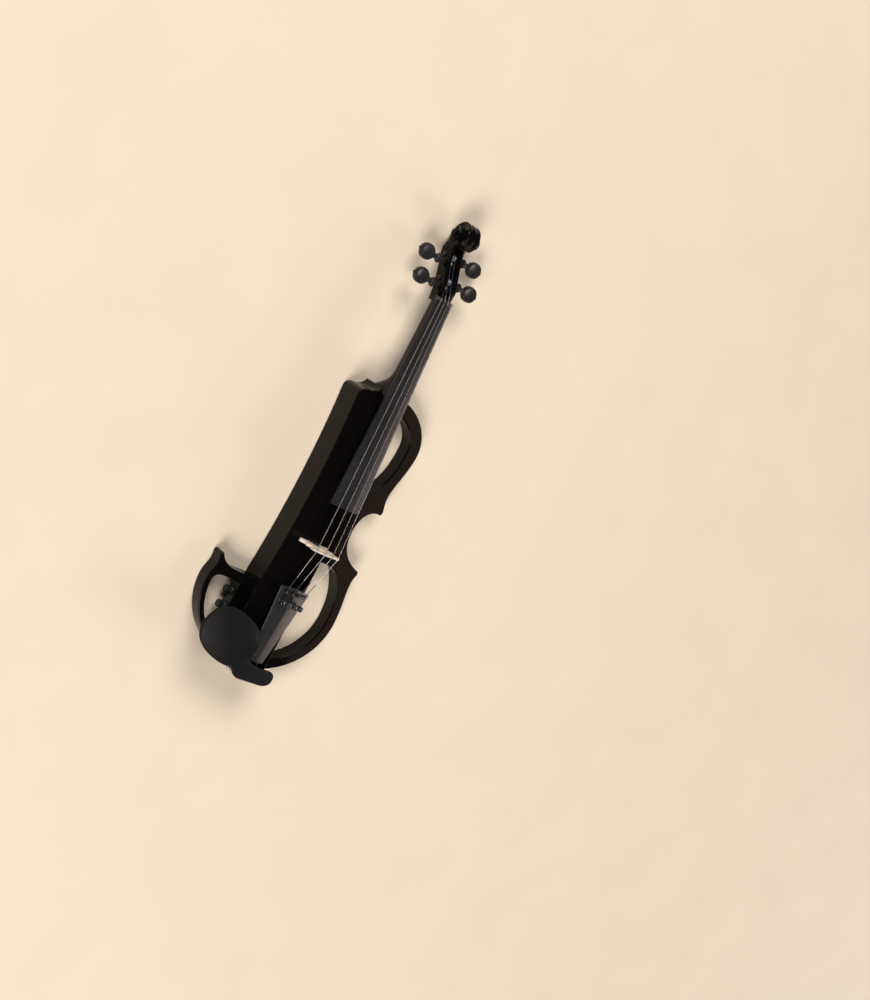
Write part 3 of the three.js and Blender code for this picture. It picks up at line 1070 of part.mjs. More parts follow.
// Battery drawer and battery
const tray = block([drawerX[0], drawerY[0], drawerZ[0]], [drawerX[1] + SEAM, drawerY[1], drawerZ[1]]);
const trayHollow = block([drawerX[0] + DRAWER_WALL, drawerY[0] + DRAWER_WALL, drawerZ[0] + DRAWER_WALL],
  [drawerX[1] - DRAWER_WALL, drawerY[1] - DRAWER_WALL, drawerZ[1] + CUT_OVERRUN]);
const drawerFace = block([CORE_RIGHT + SEAM, drawerY[0] - DRAWER_FACE_LIP, drawerZ[0] - DRAWER_FACE_LIP],
  [CORE_RIGHT + SEAM + DRAWER_FACE_THICK, drawerY[1] + DRAWER_FACE_LIP, drawerZ[1] + DRAWER_FACE_LIP]);
const pullY = (drawerY[0] + drawerY[1]) / 2;
const drawerPull = block(
  [CORE_RIGHT + SEAM + DRAWER_FACE_THICK / 2, pullY - DRAWER_FACE_LIP * 3, drawerZ[1] - DRAWER_FACE_LIP * 2],
  [CORE_RIGHT + SEAM + DRAWER_FACE_THICK * 2, pullY + DRAWER_FACE_LIP * 3, drawerZ[1] - DRAWER_FACE_LIP]);
piece('battery_drawer', 'plastic', join(tray.subtract(trayHollow), drawerFace, drawerPull));
piece('battery', 'battery', block(
  [drawerX[0] + DRAWER_WALL + SEAM, drawerY[0] + DRAWER_WALL + SEAM, drawerZ[0] + DRAWER_WALL],
  [drawerX[1] - DRAWER_WALL - SEAM, drawerY[1] - DRAWER_WALL - SEAM,
    drawerZ[0] + DRAWER_WALL + BATTERY[2]]));

export default violin;
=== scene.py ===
"""The looks of an electric violin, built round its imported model.

Shapes are drawn in the model's own frame, in millimetres, and turned into metres when they become pieces.
X points to the treble side, Y to the scroll and Z out of the playing side.
"""

import logging
import math
from dataclasses import dataclass
from enum import Enum
from typing import Callable, Iterable, Optional, Sequence

import bmesh
import bpy
from mathutils import Matrix, Vector


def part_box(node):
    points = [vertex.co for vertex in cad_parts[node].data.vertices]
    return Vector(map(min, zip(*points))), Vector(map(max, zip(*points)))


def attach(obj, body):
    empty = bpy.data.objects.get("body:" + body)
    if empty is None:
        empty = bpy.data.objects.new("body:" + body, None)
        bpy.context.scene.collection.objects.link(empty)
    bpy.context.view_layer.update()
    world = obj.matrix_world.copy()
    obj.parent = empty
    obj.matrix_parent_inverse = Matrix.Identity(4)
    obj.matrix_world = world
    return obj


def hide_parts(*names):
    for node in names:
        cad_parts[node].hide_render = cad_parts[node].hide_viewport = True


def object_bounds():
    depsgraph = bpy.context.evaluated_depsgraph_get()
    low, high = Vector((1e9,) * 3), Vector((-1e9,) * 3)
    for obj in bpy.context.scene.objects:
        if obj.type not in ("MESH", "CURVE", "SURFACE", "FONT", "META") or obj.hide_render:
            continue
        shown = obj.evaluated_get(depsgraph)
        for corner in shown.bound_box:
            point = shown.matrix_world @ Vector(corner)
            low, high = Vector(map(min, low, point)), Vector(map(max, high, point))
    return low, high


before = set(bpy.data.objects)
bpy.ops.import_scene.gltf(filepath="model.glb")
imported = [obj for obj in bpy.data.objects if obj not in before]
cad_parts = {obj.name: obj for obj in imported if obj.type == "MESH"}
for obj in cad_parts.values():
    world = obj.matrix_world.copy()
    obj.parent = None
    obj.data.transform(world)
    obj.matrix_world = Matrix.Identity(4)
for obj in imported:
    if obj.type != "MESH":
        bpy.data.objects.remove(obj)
CAD_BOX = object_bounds()

LOG = logging.getLogger("violin")
MM = 0.001
SEAM = 0.3
ROUND = 1.6
REACH = 4.0
NUT_Y = 328.0

Colour = tuple[float, float, float]
Profile = list[tuple[float, float]]
Ring = list[Vector]
Socket = bpy.types.NodeSocket


# Shapes

class Operation(Enum):
    """How two shapes are combined."""

    CUT = "DIFFERENCE"
    UNITE = "UNION"


@dataclass
class Shape:
    """A closed mesh in millimetres."""

    points: list[Vector]
    faces: list[tuple[int, ...]]

    def __add__(self, other: "Shape") -> "Shape":
        """Returns both shapes, side by side in one mesh.

        Args:
            other: the other shape.

        Returns:
            The mesh that holds both.
        """
        shift = len(self.points)
        faces = [tuple(i + shift for i in face) for face in other.faces]
        return Shape(self.points + other.points, self.faces + faces)

    def placed(self, matrix: Matrix) -> "Shape":
        """Returns the shape moved by a matrix."""
        return Shape([matrix @ point for point in self.points], list(self.faces))

    def shifted(self, x: float = 0.0, y: float = 0.0, z: float = 0.0) -> "Shape":
        """Returns the shape moved by x, y and z."""
        return self.placed(Matrix.Translation((x, y, z)))


def vec(x: float, y: float, z: float = 0.0) -> Vector:
    """Returns a point."""
    return Vector((x, y, z))


ACROSS, ALONG, UP = vec(1, 0, 0), vec(0, 1, 0), vec(0, 0, 1)
STOOD_ON_EDGE = Matrix(((0, 0, 1, 0), (1, 0, 0, 0), (0, 1, 0, 0), (0, 0, 0, 1)))


def lerp(a: float, b: float, share: float) -> float:
    """Returns the value that lies a share of the way from a to b."""
    return a + (b - a) * share


def ease(share: float) -> float:
    """Returns a share eased at both ends."""
    held = min(1.0, max(0.0, share))
    return held * held * (3 - 2 * held)


def steps(count: int) -> list[float]:
    """Returns evenly spaced shares from 0 to 1."""
    return [i / count for i in range(count + 1)]


def level_at(spots: Sequence[tuple[float, float]], place: float) -> float:
    """Reads a line of straight pieces.

    Args:
        spots: pairs of place and level, in order.
        place: where to read it.

    Returns:
        The level there, held even past both ends.
    """
    for (y0, z0), (y1, z1) in zip(spots, spots[1:]):
        if place <= y1:
            return lerp(z0, z1, max(0.0, (place - y0) / (y1 - y0)))
    return spots[-1][1]


def mirrored(points: Ring) -> Ring:
    """Returns the points mirrored to the other side of the violin's middle, in reverse order."""
    return [vec(-p.x, p.y, p.z) for p in reversed(points)]


def loft(rings: Sequence[Ring]) -> Shape:
    """Returns the shape that skins rings of equal length, closed at both ends.

    Args:
        rings: the rings, in order.

    Returns:
        The skin.
    """
    size = len(rings[0])
    points = [point for ring in rings for point in ring]
    faces: list[tuple[int, ...]] = []
    for row in range(len(rings) - 1):
        a, b = row * size, (row + 1) * size
        faces += [(a + i, a + (i + 1) % size, b + (i + 1) % size, b + i) for i in range(size)]
    return Shape(points, [*faces, tuple(reversed(range(size))),
                          tuple(range(len(points) - size, len(points)))])


def lathe(profile: Profile, start: Vector, way: Vector, sides: int = 32, flutes: int = 0,
          flute_depth: float = 0.0, fluted: Sequence[int] = ()) -> Shape:
    """Turns a profile round an axis.

    Args:
        profile: pairs of radius and distance along the axis.
        start: where the axis starts.
        way: the direction of the axis.
        sides: the number of sides.
        flutes: how many flutes run round the fluted rings.
        flute_depth: how deep they are.
        fluted: the indices of the fluted rings.

    Returns:
        The turned shape, closed at both ends.
    """
    turn = way.normalized().to_track_quat("Z", "Y").to_matrix()
    rings = []
    for index, (radius, along) in enumerate(profile):
        ring = []
        for i in range(sides):
            angle = 2 * math.pi * i / sides
            wave = flute_depth * 0.5 * (1 + math.cos(flutes * angle)) if index in fluted else 0.0
            reach = max(radius - wave, 0.001)
            ring.append(start + turn @ vec(reach * math.cos(angle), reach * math.sin(angle), along))
        rings.append(ring)
    return loft(rings)


def thread(radius: float, depth: float, pitch: float, start: float, stop: float,
           crest: float = 0.0) -> Profile:
    """Lists the rings of a screw thread for the lathe.

    Args:
        radius: the radius of its crests.
        depth: how deep it is.
        pitch: from one crest to the next.
        start: where it starts.
        stop: where it stops.
        crest: how wide its crests are.

    Returns:
        Pairs of radius and distance along the axis.
    """
    rows: Profile = []
    along = start
    while along < stop:
        rows += [(radius, along), (radius, along + crest)] if crest else [(radius, along)]
        rows.append((radius - depth, along + pitch / 2))
        along += pitch
    return rows


def tube(path: Sequence[Vector], radius: float, sides: int = 12,
         swell: Optional[Callable[[float], float]] = None) -> Shape:
    """Runs a round tube along a path.

    Args:
        path: the points of its centre line.
        radius: its radius.
        sides: the number of sides.
        swell: gives a factor on the radius for a share of the path.

    Returns:
        The tube, closed at both ends.
    """
    rings = []
    across = ACROSS.copy()
    for i, spot in enumerate(path):
        way = (path[min(i + 1, len(path) - 1)] - path[max(i - 1, 0)]).normalized()
        across = across - way * across.dot(way)
        if across.length < 0.05:
            across = way.orthogonal()
        across.normalize()
        up = way.cross(across)
        reach = radius * (swell(i / (len(path) - 1)) if swell else 1.0)
        rings.append([spot + across * (reach * math.cos(2 * math.pi * k / sides))
                      + up * (reach * math.sin(2 * math.pi * k / sides)) for k in range(sides)])
    return loft(rings)


def curve_through(spots: Sequence[Vector], per_span: int = 8, closed: bool = False) -> list[Vector]:
    """Draws a smooth curve through points.

    Args:
        spots: the points to pass through.
        per_span: the number of steps between two points.
        closed: whether the curve comes back to its first point.

    Returns:
        The points of the curve.
    """
    count = len(spots)
    line = []
    for i in range(count if closed else count - 1):
        p1, p2 = spots[i], spots[(i + 1) % count]
        p0 = spots[(i - 1) % count] if closed or i > 0 else p1 * 2 - p2
        p3 = spots[(i + 2) % count] if closed or i + 2 < count else p2 * 2 - p1
        for k in range(per_span):
            t = k / per_span
            line.append(((p1 * 2) + (p2 - p0) * t + (p0 * 2 - p1 * 5 + p2 * 4 - p3) * t * t
                         + (p1 * 3 - p0 - p2 * 3 + p3) * t * t * t) * 0.5)
    return line if closed else line + [spots[-1].copy()]


def bend(start: Sequence[float], one: Sequence[float], two: Sequence[float], end: Sequence[float],
         count: int = 20) -> Ring:
    """Draws a cubic curve in the X-Y plane, without its first point.

    Args:
        start: the first point.
        one: the first handle.
        two: the second handle.
        end: the last point.
        count: the number of steps.

    Returns:
        The points after the first.
    """
    p0, p1, p2, p3 = (vec(*p[:2]) for p in (start, one, two, end))
    return [p0 * (1 - t) ** 3 + p1 * (3 * (1 - t) * (1 - t) * t) + p2 * (3 * (1 - t) * t * t) + p3 * t ** 3
            for t in steps(count)[1:]]


def bends(start: Sequence[float], *spans: tuple) -> Ring:
    """Draws cubic curves that follow each other in the X-Y plane.

    Args:
        start: the first point.
        spans: for each curve its two handles, its last point and its number of steps.

    Returns:
        The points after the first.
    """
    line = []
    for one, two, end, count in spans:
        line += bend(start, one, two, end, count)
        start = end
    return line


def round_corners(low: Sequence[float], high: Sequence[float], radius: float) -> Ring:
    """Returns a rectangle between two corners in the X-Y plane, with its own corners rounded.

    Args:
        low: its lowest corner.
        high: its highest corner.
        radius: the radius of the rounding.

    Returns:
        The outline, anticlockwise.
    """
    line = []
    x0, y0, x1, y1 = low[0] + radius, low[1] + radius, high[0] - radius, high[1] - radius
    for turn, centre in enumerate((vec(x1, y1), vec(x0, y1), vec(x0, y0), vec(x1, y0))):
        angles = [math.radians(90 * (turn + share)) for share in steps(6)]
        line += [centre + vec(radius * math.cos(a), radius * math.sin(a)) for a in angles]
    return line


def inset(outline: Ring, distance: float) -> Ring:
    """Moves a flat outline inwards.

    Args:
        outline: the outline, anticlockwise.
        distance: how far to move it.

    Returns:
        The smaller outline, with as many points. Where it would fold over itself, its points are gathered.
    """
    result = []
    count = len(outline)
    for i, point in enumerate(outline):
        before = (point - outline[i - 1]).normalized()
        after = (outline[(i + 1) % count] - point).normalized()
        n1, n2 = vec(-before.y, before.x), vec(-after.y, after.x)
        mitre = (n1 + n2) / max(0.35, 1 + n1.dot(n2))
        result.append(point + mitre * distance)
    for _ in range(60):
        folded = [i for i in range(count)
                  if (result[i] - result[i - 1]).dot(outline[i] - outline[i - 1]) < 0]
        for i in folded:
            result[i - 1] = result[i] = (result[i] + result[i - 1]) / 2
            ahead = (i + 1) % count
            result[ahead] = result[ahead].lerp(result[i], 0.02)
        if not folded:
            break
    return result


def anticlockwise(outline: Sequence[Sequence[float]]) -> Ring:
    """Returns the outline without doubled points, running anticlockwise.

    Args:
        outline: the outline.

    Returns:
        The cleaned outline.
    """
    outline = [vec(*p[:2]) for p in outline]
    clean = [p for i, p in enumerate(outline) if (p - outline[i - 1]).length > 0.02]
    area = sum(p.x * clean[i - 1].y - clean[i - 1].x * p.y for i, p in enumerate(clean))
    return clean if area < 0 else clean[::-1]


def rounded_slab(outline: Sequence[Sequence[float]], low: float, high: float, radius: float,
                 count: int = 5) -> Shape:
    """Raises a flat outline into a slab with rounded edges.

    Args:
        outline: the outline in the X-Y plane.
        low: the height of its underside.
        high: the height of its top.
        radius: the radius of its edges.
        count: the steps of each rounded edge.

    Returns:
        The slab. Narrow rings beside the edges keep its flat faces flat to the light.
    """
    outline = anticlockwise(outline)
    hold = min(radius * 0.2, 0.3)
    arc = [(radius * (1 - math.sin(a)), radius * (1 - math.cos(a)))
           for a in (math.pi / 2 * share for share in steps(count))]
    profile = [(radius + hold, low), *((side, low + rise) for side, rise in arc), (0.0, low + radius + hold)]
    profile += [(side, high - (height - low)) for side, height in reversed(profile)]
    return loft([[p + vec(0, 0, height) for p in inset(outline, side)] for side, height in profile])


def side_slab(outline: Sequence[Sequence[float]], width: float, radius: float = 0.5, count: int = 4) -> Shape:
    """Raises an outline drawn in Y and Z into a slab across X.

    Args:
        outline: pairs of Y and Z.
        width: its width, centred on X.
        radius: the radius of its edges.
        count: the steps of each rounded edge.

    Returns:
        The slab.
    """
    return rounded_slab(outline, -width / 2, width / 2, radius, count).placed(STOOD_ON_EDGE)


def rounded_box(low: Sequence[float], high: Sequence[float], radius: float = 0.5, count: int = 3) -> Shape:
    """Makes a box between two corners, with its edges rounded.

    Args:
        low: its lowest corner.
        high: its highest corner.
        radius: the radius of the edges.
        count: the steps of each rounded edge.

    Returns:
        The box.
    """
    mesh = bmesh.new()
    bmesh.ops.create_cube(mesh, size=1.0)
    size = [high[i] - low[i] for i in range(3)]
    bmesh.ops.scale(mesh, vec=size, verts=mesh.verts)
    bmesh.ops.translate(mesh, vec=[(high[i] + low[i]) / 2 for i in range(3)], verts=mesh.verts)
    if radius > 0:
        bmesh.ops.bevel(mesh, geom=mesh.edges[:], offset=min(radius, min(size) * 0.45), segments=count,
                        profile=0.5, affect="EDGES")
    mesh.verts.index_update()
    shape = Shape([v.co.copy() for v in mesh.verts], [tuple(v.index for v in f.verts) for f in mesh.faces])
    mesh.free()
    return shape


def block(low: Sequence[float], high: Sequence[float]) -> Shape:
    """Returns a box with sharp edges between two corners."""
    return rounded_box(low, high, 0)


def rod(start: Sequence[float], end: Sequence[float], radius: float, sides: int = 24,
        chamfer: float = 0.0) -> Shape:
    """Makes a round rod between two points.

    Args:
        start: its first end.
        end: its second end.
        radius: its radius.
        sides: the number of sides.
        chamfer: the size of the chamfers at its ends.

    Returns:
        The rod.
    """
    first, last = Vector(start), Vector(end)
    length = (last - first).length
    profile = [(radius, 0.0), (radius, length)]
    if chamfer > 0:
        profile = [(radius - chamfer, 0.0), (radius, chamfer), (radius, length - chamfer),
                   (radius - chamfer, length)]
    return lathe(profile, first, last - first, sides)


def upright(spot: Vector, low: float, high: float, radius: float, sides: int = 24) -> Shape:
    """Returns a rod through a spot, from one height to another."""
    return rod((spot.x, spot.y, low), (spot.x, spot.y, high), radius, sides)


def crosswise(spot: Vector, start: float, end: float, radius: float, sides: int = 24) -> Shape:
    """Returns a rod through a spot, from one X to another."""
    return rod((start, spot.y, spot.z), (end, spot.y, spot.z), radius, sides)


def raw_mesh(name: str, shape: Shape, scale: float = 1.0) -> bpy.types.Mesh:
    """Turns a shape into a Blender mesh with its faces outwards.

    Args:
        name: the mesh's name.
        shape: the shape.
        scale: metres per unit of the shape.

    Returns:
        The mesh.
    """
    data = bpy.data.meshes.new(name)
    data.from_pydata([tuple(p * scale) for p in shape.points], [], shape.faces)
    mesh = bmesh.new()
    mesh.from_mesh(data)
    bmesh.ops.remove_doubles(mesh, verts=mesh.verts, dist=1e-4 * scale)
    bmesh.ops.recalc_face_normals(mesh, faces=mesh.faces)
    mesh.to_mesh(data)
    mesh.free()
    return data


def combine(base: Shape, others: Iterable[Shape], how: Operation) -> Shape:
    """Cuts shapes out of a base, or joins them to it.

    Args:
        base: the shape to work on.
        others: the shapes to cut or join.
        how: whether they are cut or joined.

    Returns:
        The result, as one skin.
    """
    scene = bpy.context.scene.collection
    tools = bpy.data.collections.new("tools")
    scene.children.link(tools)
    target = bpy.data.objects.new("base", raw_mesh("base", base))
    scene.objects.link(target)
    helpers = [bpy.data.objects.new("tool", raw_mesh("tool", other)) for other in others]
    for helper in helpers:
        tools.objects.link(helper)
    change = target.modifiers.new("combine", "BOOLEAN")
    change.operation = how.value
    change.operand_type = "COLLECTION"
    change.collection = tools
    change.solver = "EXACT"
    graph = bpy.context.evaluated_depsgraph_get()
    made = bpy.data.meshes.new_from_object(target.evaluated_get(graph))
    result = Shape([v.co.copy() for v in made.vertices], [tuple(p.vertices) for p in made.polygons])
    for helper in (*helpers, target):
        bpy.data.objects.remove(helper)
    bpy.data.collections.remove(tools)
    return result


def cut(base: Shape, *others: Shape) -> Shape:
    """Returns the base with the others cut out."""
    return combine(base, others, Operation.CUT)


def unite(base: Shape, *others: Shape) -> Shape:
    """Returns the base and the others as one skin."""
    return combine(base, others, Operation.UNITE)


# Finishes

class Sum(Enum):
    """How two values are worked on each other."""

    PLUS = "ADD"
    TIMES = "MULTIPLY"


class Tree:
    """The nodes of one material, added one by one."""

    def __init__(self, name: str) -> None:
        """Starts a material, by its name, with one surface shader.

        Args:
            name: the material's name.
        """
        self.material = bpy.data.materials.new(name)
        self.material.use_nodes = True
        self.nodes = self.material.node_tree.nodes
        self.links = self.material.node_tree.links
        self.shader = self.nodes["Principled BSDF"]
        self.place = self.nodes.new("ShaderNodeTexCoord").outputs["Object"]

    def put(self, socket: str, value: object) -> None:
        """Sets an even value, or links a varying one, on the surface shader.

        Args:
            socket: the shader's socket.
            value: an even value, or the socket of a varying one.
        """
        if isinstance(value, Socket):
            self.links.new(value, self.shader.inputs[socket])
        else:
            self.shader.inputs[socket].default_value = value

    def stretched(self, stretch: Sequence[float]) -> Socket:
        """Returns the place on the piece, scaled along each axis.

        Args:
            stretch: a scale along each axis.

        Returns:
            The scaled place.
        """
        mapping = self.nodes.new("ShaderNodeMapping")
        mapping.inputs["Scale"].default_value = stretch
        self.links.new(self.place, mapping.inputs["Vector"])
        return mapping.outputs["Vector"]

    def noise(self, scale: float, detail: float = 3.0, stretch: Sequence[float] = (1, 1, 1),
              distortion: float = 0.0) -> Socket:
        """Adds a cloud of noise.

        Args:
            scale: its fineness, per metre.
            detail: how many finer layers it has.
            stretch: a scale along each axis.
            distortion: how far it is swirled.

        Returns:
            The noise, from 0 to 1.
        """
        node = self.nodes.new("ShaderNodeTexNoise")
        for socket, number in (("Scale", scale), ("Detail", detail), ("Distortion", distortion)):
            node.inputs[socket].default_value = number
        self.links.new(self.stretched(stretch), node.inputs["Vector"])
        return node.outputs["Fac"]

    def cells(self, scale: float, stretch: Sequence[float] = (1, 1, 1)) -> Socket:
        """Returns the distance to the nearest of many scattered spots.

        Args:
            scale: how close they lie, per metre.
            stretch: a scale along each axis.

        Returns:
            The distance.
        """
        node = self.nodes.new("ShaderNodeTexVoronoi")
        node.inputs["Scale"].default_value = scale
        self.links.new(self.stretched(stretch), node.inputs["Vector"])
        return node.outputs["Distance"]

    def bands(self, scale: float, axis: str, wander: float = 0.0) -> Socket:
        """Adds parallel bands.

        Args:
            scale: their fineness, per metre.
            axis: the axis that they follow each other along.
            wander: how far they wander.

        Returns:
            The bands, from 0 to 1.
        """
        node = self.nodes.new("ShaderNodeTexWave")
        node.bands_direction = axis
        for socket, number in (("Scale", scale), ("Distortion", wander), ("Detail", 2.0)):
            node.inputs[socket].default_value = number
        self.links.new(self.place, node.inputs["Vector"])
        return node.outputs["Fac"]

    def spread(self, value: Socket, low: float, high: float, to_low: float = 0.0,
               to_high: float = 1.0) -> Socket:
        """Maps one range of a value to another.

        Args:
            value: the value.
            low: the low end of its range.
            high: the high end of its range.
            to_low: what the low end becomes.
            to_high: what the high end becomes.

        Returns:
            The mapped value, held inside its new range.
        """
        node = self.nodes.new("ShaderNodeMapRange")
        for socket, number in (("From Min", low), ("From Max", high), ("To Min", to_low),
                               ("To Max", to_high)):
            node.inputs[socket].default_value = number
        self.links.new(value, node.inputs["Value"])
        return node.outputs["Result"]

    def sum_of(self, one: Socket, two: Socket, how: Sum) -> Socket:
        """Returns the sum or the product of two values.

        Args:
            one: the first value.
            two: the second value.
            how: which of the two.

        Returns:
            The result.
        """
        node = self.nodes.new("ShaderNodeMath")
        node.operation = how.value
        self.links.new(one, node.inputs[0])
        self.links.new(two, node.inputs[1])
        return node.outputs["Value"]

    def mix(self, share: Socket, first: object, second: object) -> Socket:
        """Mixes two colours.

        Args:
            share: how much of the second.
            first: a colour or a socket that gives one.
            second: a colour or a socket that gives one.

        Returns:
            The mixed colour.
        """
        node = self.nodes.new("ShaderNodeMix")
        node.data_type = "RGBA"
        self.links.new(share, node.inputs["Factor"])
        for socket, value in ((node.inputs[6], first), (node.inputs[7], second)):
            if isinstance(value, Socket):
                self.links.new(value, socket)
            else:
                socket.default_value = (*value, 1.0)
        return node.outputs[2]

    def bump(self, *layers: tuple[Socket, float, float]) -> None:
        """Raises the surface by layers of height.

        Args:
            layers: each a height, its strength and its depth in millimetres.
        """
        normal = None
        for height, strength, depth in layers:
            node = self.nodes.new("ShaderNodeBump")
            node.inputs["Strength"].default_value = strength
            node.inputs["Distance"].default_value = depth * MM
            self.links.new(height, node.inputs["Height"])
            if normal is not None:
                self.links.new(normal, node.inputs["Normal"])
            normal = node.outputs["Normal"]
        self.links.new(normal, self.shader.inputs["Normal"])

    def rim(self, width: float, amount: float) -> Socket:
        """Finds the edges of a piece, broken up as wear is.

        Args:
            width: how wide the worn edge is, in millimetres.
            amount: how strong it is, from 0 to 1.

        Returns:
            The wear, 0 on the flats.
        """
        soft = self.nodes.new("ShaderNodeBevel")
        soft.samples = 4
        soft.inputs["Radius"].default_value = width * MM
        near = self.nodes.new("ShaderNodeNewGeometry")
        dot = self.nodes.new("ShaderNodeVectorMath")
        dot.operation = "DOT_PRODUCT"
        self.links.new(soft.outputs["Normal"], dot.inputs[0])
        self.links.new(near.outputs["Normal"], dot.inputs[1])
        edge = self.spread(dot.outputs["Value"], 0.99, 0.86, 0.0, amount)
        return self.sum_of(edge, self.spread(self.noise(620, 5), 0.42, 0.66), Sum.TIMES)


@dataclass(frozen=True)
class Finish:
    """One material of the violin, and the record's slot that it is for."""

    name: str
    slot: str
    colour: Colour
    roughness: float = 0.4
    metallic: float = 0.0
    specular: float = 0.5

    def material(self) -> bpy.types.Material:
        """Returns the material, built once."""
        known = bpy.data.materials.get(self.name)
        if known is not None:
            return known
        tree = Tree(self.name)
        tree.put("Base Color", (*self.colour, 1.0))
        tree.put("Roughness", self.roughness)
        tree.put("Metallic", self.metallic)
        tree.put("Specular IOR Level", self.specular)
        self.detail(tree)
        return tree.material

    def tint(self, factor: float) -> list[float]:
        """Returns the colour, lighter or darker by a factor."""
        return [c * factor for c in self.colour]

    def sheen(self, tree: Tree, value: Socket, low: float, high: float, least: float, most: float) -> Socket:
        """Makes a roughness that follows a value.

        Args:
            tree: the material's nodes.
            value: the value.
            low: the low end of its range.
            high: the high end of its range.
            least: the factor on the finish's roughness at the low end.
            most: the factor at the high end.

        Returns:
            The roughness.
        """
        return tree.spread(value, low, high, self.roughness * least, self.roughness * most)

    def detail(self, tree: Tree) -> None:
        """Adds what varies over the surface to the material's nodes."""
        raise NotImplementedError


@dataclass(frozen=True)
class Lacquer(Finish):
    """Deep polished lacquer with a faint orange peel, polishing haze, dust and rubbed edges."""

    rubbed: Colour = (0.035, 0.03, 0.028)
    dust: Colour = (0.16, 0.15, 0.135)

    def detail(self, tree: Tree) -> None:
        """Adds haze, hairlines, dust and worn edges.

        Args:
            tree: the material's nodes.
        """
        haze = tree.noise(26, 5, distortion=0.6)
        hairline = tree.noise(90, 2, (30, 1.2, 6))
        specks = tree.sum_of(tree.spread(tree.cells(900), 0.09, 0.03),
                             tree.spread(tree.noise(14, 4), 0.5, 0.8, 0.0, 0.6), Sum.TIMES)
        body = tree.mix(tree.spread(haze, 0.2, 0.8), self.colour, self.tint(1.35))
        tree.put("Base Color", tree.mix(tree.rim(0.7, 0.5), tree.mix(specks, body, self.dust), self.rubbed))
        scratched = tree.sum_of(self.sheen(tree, haze, 0.3, 0.75, 0.7, 1.7),
                                tree.spread(hairline, 0.62, 0.78, 0.0, 0.07), Sum.PLUS)
        tree.put("Roughness", tree.sum_of(scratched, tree.spread(specks, 0.0, 1.0, 0.0, 0.4), Sum.PLUS))
        tree.bump((tree.noise(330, 1), 0.05, 0.05), (hairline, 0.05, 0.02))


@dataclass(frozen=True)
class Blackwood(Finish):
    """Close-grained black wood, oiled, with its grain along the strings."""

    grain: Colour = (0.024, 0.023, 0.025)
    along: Sequence[float] = (22, 1, 22)

    def detail(self, tree: Tree) -> None:
        """Adds grain, pores and play marks.

        Args:
            tree: the material's nodes.
        """
        grain = tree.noise(62, 6, self.along, 0.25)
        pores = tree.spread(tree.noise(150, 2, [a * 1.6 for a in self.along]), 0.62, 0.74)
        streak = tree.mix(tree.spread(grain, 0.35, 0.7), self.colour, self.grain)
        tree.put("Base Color", tree.mix(tree.rim(0.6, 0.55), tree.mix(pores, streak, self.tint(0.5)),
                                        [c * 2.4 for c in self.grain]))
        palm = self.sheen(tree, tree.noise(17, 4), 0.35, 0.7, 0.82, 1.22)
        tree.put("Roughness", tree.sum_of(palm, tree.spread(pores, 0.0, 1.0, 0.0, 0.16), Sum.PLUS))
        tree.bump((grain, 0.12, 0.05), (pores, 0.18, -0.05))


@dataclass(frozen=True)
class Moulded(Finish):
    """Moulded plastic with a fine sparked grain."""

    grain_scale: float = 1500.0
    grain_depth: float = 0.035

    def detail(self, tree: Tree) -> None:
        """Adds the mould's grain, handling shine and pale rubbed edges.

        Args:
            tree: the material's nodes.
        """
        flow = tree.noise(34, 3, (1, 2.4, 1), 0.5)
        cloud = tree.mix(tree.spread(flow, 0.3, 0.7), self.tint(0.88), self.tint(1.16))
        tree.put("Base Color", tree.mix(tree.rim(0.5, 0.6), cloud, [c * 2.1 + 0.006 for c in self.colour]))
        tree.put("Roughness", self.sheen(tree, tree.noise(21, 4), 0.35, 0.7, 0.86, 1.1))
        tree.bump((tree.noise(self.grain_scale, 2), 0.3, self.grain_depth), (flow, 0.05, 0.08))


@dataclass(frozen=True)
class PaleWood(Finish):
    """Pale bridge wood with fine pores, ray flecks and sawn grain."""

    fleck: Colour = (0.62, 0.43, 0.29)
    dark: Colour = (0.5, 0.34, 0.22)

    def detail(self, tree: Tree) -> None:
        """Adds flecks, pores, grain and darkened edges.

        Args:
            tree: the material's nodes.
        """
        rays = tree.spread(tree.noise(210, 3, (1, 0.5, 6.5), 0.2), 0.58, 0.68, 0.0, 0.75)
        grain = tree.noise(95, 5, (1.0, 3.0, 9.0), 0.3)
        pores = tree.spread(tree.cells(1250, (1, 0.5, 3)), 0.2, 0.08, 0.0, 0.4)
        base = tree.mix(tree.spread(grain, 0.3, 0.75), self.colour, self.tint(0.84))
        flecked = tree.mix(pores, tree.mix(rays, base, self.fleck), self.dark)
        tree.put("Base Color", tree.mix(tree.rim(0.6, 0.5), flecked, self.fleck))
        tree.put("Roughness", self.sheen(tree, grain, 0.3, 0.7, 0.85, 1.15))
        tree.bump((grain, 0.14, 0.06), (pores, 0.2, -0.05))


@dataclass(frozen=True)
class Plated(Finish):
    """Plated metal with turning marks, finger haze and tarnish."""

    tarnish: Colour = (0.3, 0.27, 0.22)
    turned_axis: str = "Z"

    def detail(self, tree: Tree) -> None:
        """Adds turning marks, haze and tarnish.

        Args:
            tree: the material's nodes.
        """
        haze = tree.noise(120, 5)
        spots = tree.spread(tree.noise(60, 6), 0.58, 0.76, 0.0, 0.5)
        tree.put("Base Color", tree.mix(spots, self.colour, self.tarnish))
        tree.put("Roughness", self.sheen(tree, haze, 0.3, 0.72, 0.7, 1.6))
        tree.bump((tree.bands(900, self.turned_axis, 0.6), 0.1, 0.012), (haze, 0.05, 0.02))


